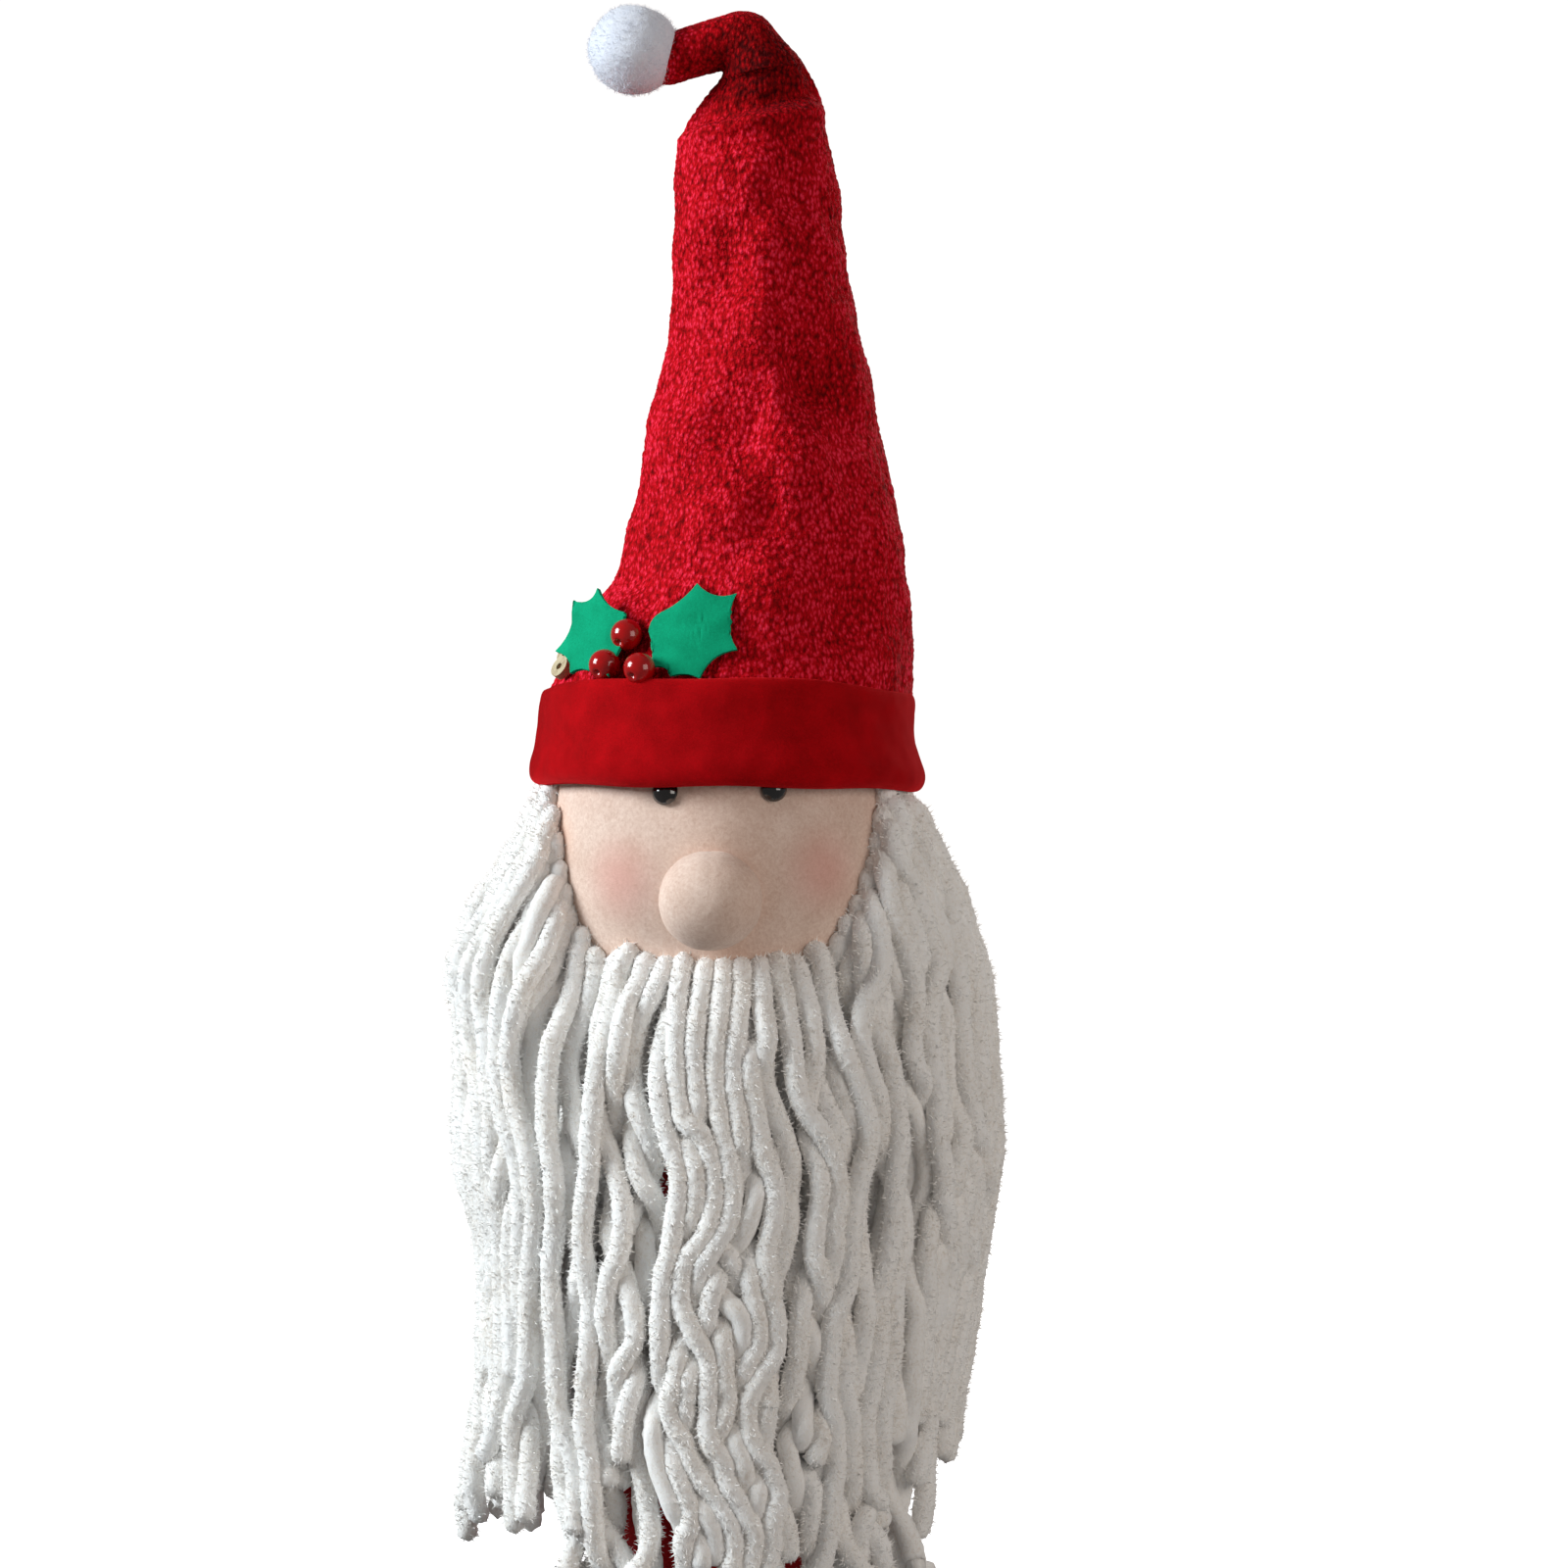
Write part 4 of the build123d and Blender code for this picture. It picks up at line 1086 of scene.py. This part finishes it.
def settle(paths, rounds):
    """Let every length hang: gravity, its own waviness, its neighbours, the body and the floor."""
    paths = paths.copy()
    spacing = np.linalg.norm(np.diff(paths, axis=1), axis=2)
    wave = paths[:, :-2] + paths[:, 2:] - 2 * paths[:, 1:-1]
    owner = np.repeat(np.arange(len(paths)), node_count)
    fixed = 3
    yarn_mm = yarn_radius / MM
    for _ in range(rounds):
        paths[:, fixed:, 2] -= fall_per_round
        bend = (paths[:, :-2] + paths[:, 2:] - wave) / 2 - paths[:, 1:-1]
        paths[:, fixed:-1] += bend_stiffness * bend[:, fixed - 1:]
        moves = push_apart(paths.reshape(-1, 3), 2 * yarn_mm * closest_share, owner).reshape(paths.shape)
        paths[:, fixed:] += push_share * moves[:, fixed:]
        x, y, z = (paths[:, :, k] for k in range(3))
        radius = np.hypot(x, y)
        angle = np.arctan2(x, -y)
        spare = np.clip((184 - z) / 12, 0, 1) * (yarn_mm + 0.15)
        parting = 0.06 * np.sin(z / 17 + 1.0) + 0.03 * np.sin(z / 9)
        low_gap = radius * np.sin(np.clip(angle - low_side[:, None] - parting, -1.5, 1.5)) - spare
        high_gap = radius * np.sin(np.clip(high_side[:, None] + parting - angle, -1.5, 1.5)) - spare
        inside = (z < 184)
        angle = angle - np.where(inside & (low_gap < 0), low_gap, 0) / radius
        angle = angle + np.where(inside & (high_gap < 0), high_gap, 0) / radius
        nearest = head_radius(z) + yarn_mm
        nearest = np.maximum(nearest, np.where(z < 172, 47.0 + yarn_mm, 0))
        farthest = beard_reach(angle, z) - yarn_mm + 0.4
        radius = np.where(radius > farthest, radius + (farthest - radius) * 0.5, radius)
        radius = np.maximum(radius, nearest)
        above_floor = np.maximum(z, yarn_mm + floor_gap)
        moved = np.stack([radius * np.sin(angle), -radius * np.cos(angle), above_floor], 2)
        paths[:, fixed:] = moved[:, fixed:]
        for j in range(fixed, node_count):
            run = paths[:, j] - paths[:, j - 1]
            size = np.linalg.norm(run, axis=1, keepdims=True)
            paths[:, j] = paths[:, j - 1] + run / np.maximum(size, 1e-6) * spacing[:, j - 1][:, None]
    return paths


yarn = settle(yarn, 110)
lengths = np.linalg.norm(np.diff(yarn, axis=1), axis=2).sum(axis=1)
print("settled; lengths", round(lengths.min()), "to", round(lengths.max()), "mm")

# %% [markdown]
# Chenille has a thin twisted core that grips a short pile, which stands out in fine rings along
# the yarn. The tree draws a round section along each path, closes the ends into blunt tips, and
# raises the rings and the pile out of the surface. It stores how far along and how far round each
# point is, and the finish reads that, so the pattern follows the yarn however it hangs.

# %% Chenille tree
yarn_maker = Maker("chenille", {
    "Yarn radius": FLOAT, "Ring spacing": FLOAT, "Ring rise": FLOAT, "Pile rise": FLOAT,
    "Lump rise": FLOAT, "Pattern start": FLOAT, "Step": FLOAT, "Sides": INT,
    **hair_sizes, "Material": MATERIAL,
})
given = yarn_maker.given
path = yarn_maker.node("GeometryNodeMeshToCurve", None, {"Mesh": given["Geometry"]})["Curve"]
smooth = {"spline_type": "CATMULL_ROM"}
path = yarn_maker.node("GeometryNodeCurveSplineType", smooth, {"Curve": path})["Curve"]
evenly = {"Curve": path, "Length": given["Step"]}
path = yarn_maker.node("GeometryNodeResampleCurve", {"mode": "LENGTH"}, evenly)["Curve"]
parameter = yarn_maker.node("GeometryNodeSplineParameter")
whole_length = yarn_maker.node("GeometryNodeSplineLength")["Length"]
from_start = parameter["Length"]
to_end = whole_length - from_start
nearest_end = from_start.maths("MINIMUM", from_start, to_end)
tip_share = from_start.maths("MINIMUM", nearest_end / given["Yarn radius"], 1.0)
tip_round = 1.0 - (1.0 - tip_share) * (1.0 - tip_share)
tip_size = tip_round.maths("MAXIMUM", tip_round, 0.004) ** 0.5
along_capture = yarn_maker.node("GeometryNodeCaptureAttribute", {"captures": ["along"]}, {
    "Geometry": path, 1: from_start + given["Pattern start"],
})
section = yarn_maker.node("GeometryNodeCurvePrimitiveCircle", None, {
    "Resolution": given["Sides"], "Radius": given["Yarn radius"],
})
section_turn = yarn_maker.node("GeometryNodeSplineParameter")["Factor"] * (2 * pi)
turn_capture = yarn_maker.node("GeometryNodeCaptureAttribute", {"captures": ["turn"]}, {
    "Geometry": section["Curve"], 1: section_turn,
})
tube = yarn_maker.node("GeometryNodeCurveToMesh", None, {
    "Curve": along_capture["Geometry"], "Profile Curve": turn_capture["Geometry"],
    "Scale": tip_size, "Fill Caps": True,
})["Mesh"]
along = along_capture["along"]
turn = turn_capture["turn"]
cosine = turn.maths("COSINE", turn)
sine = turn.maths("SINE", turn)
pattern = yarn_maker.node("ShaderNodeCombineXYZ", None, {
    0: along, 1: cosine * given["Yarn radius"], 2: sine * given["Yarn radius"],
})["Vector"]
on_points = {"data_type": "FLOAT_VECTOR", "domain": "POINT"}
stored = yarn_maker.node("GeometryNodeStoreNamedAttribute", on_points, {
    "Geometry": tube, "Name": "pile", "Value": pattern,
})["Geometry"]
fine_lumps = {"Vector": pattern, "Scale": 900.0, "Detail": 3.0}
pile_noise = yarn_maker.node("ShaderNodeTexNoise", None, fine_lumps)["Fac"]
wide_lumps = {"Vector": pattern, "Scale": 95.0, "Detail": 1.0}
lump_noise = yarn_maker.node("ShaderNodeTexNoise", None, wide_lumps)["Fac"]
ring_phase = along * (2 * pi) / given["Ring spacing"] + pile_noise * 5.0
rings_up = ring_phase.maths("SINE", ring_phase) * given["Ring rise"]
pile_up = (pile_noise - 0.5) * 2.0 * given["Pile rise"]
height = rings_up + pile_up + (lump_noise - 0.5) * 2.0 * given["Lump rise"]
surface_out = yarn_maker.node("GeometryNodeInputNormal")["Normal"]
outwards = {0: surface_out, "Scale": height}
shift = yarn_maker.node("ShaderNodeVectorMath", {"operation": "SCALE"}, outwards)["Vector"]
piled = yarn_maker.node("GeometryNodeSetPosition", None, {"Geometry": stored, "Offset": shift})["Geometry"]
smoothed = {"Geometry": piled, "Shade Smooth": True}
piled = yarn_maker.node("GeometryNodeSetShadeSmooth", None, smoothed)["Geometry"]
both = yarn_maker.node("GeometryNodeJoinGeometry")
fuzz = hairs_over(yarn_maker, piled)
join_node = both["Geometry"].socket.node
for part in (fuzz, piled):
    yarn_maker.tree.links.new(part.socket, join_node.inputs["Geometry"])
yarn_maker.finish_with(both["Geometry"])
print("yarn tree nodes", len(yarn_maker.tree.nodes))

# %% Chenille finish
chenille = Finish("white chenille", {"Roughness": 1.0, "Sheen Weight": 0.45, "Sheen Roughness": 0.6})
chenille.shader.inputs["Specular IOR Level"].default_value = 0.15
pile_place = chenille.node("ShaderNodeAttribute", {"attribute_name": "pile"})["Vector"]
pile_grain = chenille.noise(1.0 * MM, 4.0, 0.65, pile_place, 0.8)
pile_fine = chenille.noise(0.34 * MM, 2.0, 0.6, pile_place)
pile_cloud = chenille.noise(22 * MM, 2.0, 0.5, pile_place)
pile_tone = pile_grain * 0.55 + pile_cloud * 0.35 + pile_fine * 0.2
chenille_colour = chenille.colours(pile_tone, [
    (0.42, (0.82, 0.765, 0.70, 1)),
    (0.52, (0.965, 0.94, 0.905, 1)),
    (0.64, (1.0, 0.993, 0.98, 1)),
])
chenille_height = pile_grain * 0.6 + pile_fine * 0.4
chenille_bump = chenille.bump(chenille_height, 0.8 * MM, 0.7)
white_chenille = chenille.surface(Base_Color=chenille_colour, Normal=chenille_bump)

# %% Yarn pieces
cord_room = 40


def yarn_tube(index):
    """The finished mesh of one length of yarn."""
    line = bpy.data.meshes.new("line")
    points = (yarn[index] * MM).tolist()
    line.from_pydata(points, [(i, i + 1) for i in range(node_count - 1)], [])
    seen = sewn[index]["layer"] < 2
    return yarn_maker.run(line, {
        "Yarn radius": yarn_radius, "Ring spacing": 1.9 * MM, "Ring rise": 0.1 * MM, "Pile rise": 0.95 * MM,
        "Lump rise": 0.6 * MM, "Pattern start": index * 0.31, "Material": white_chenille,
        "Step": (0.85 if seen else 1.8) * MM, "Sides": 18 if seen else 12,
        "Hairs per area": 4.5e5 if seen else 0.0, "Hair length": 1.7 * MM, "Hair thickness": 0.2 * MM,
        "Lean": 0.7, "Seed": index,
    })


def hang(piece, lock):
    """Bake a piece of the beard where it hangs and hide the solid lock and loops that it stands for."""
    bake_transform(piece)
    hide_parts(lock, "beard_loops", "beard_cheek_left", "beard_cheek_right")


outer_first = sorted(range(len(sewn)), key=lambda i: sewn[i]["layer"] * 100 - lengths[i] * 0.1)
declared = outer_first[:cord_room]
bundles = {name: [] for name in locks}
for index in range(len(sewn)):
    tube_mesh = yarn_tube(index)
    if index not in declared:
        bundles[wedge_of[index]].append(tube_mesh)
        continue
    strand = show(f"yarn_{index:03d}", tube_mesh, white_chenille)
    hang(strand, wedge_of[index])
    way = (yarn[index] * MM).tolist()
for name, meshes in bundles.items():
    bundle = show(name + "_yarn", joined(name, meshes), white_chenille)
    hang(bundle, name)
    print(name, len(meshes), "lengths", len(bundle.data.polygons), "faces")
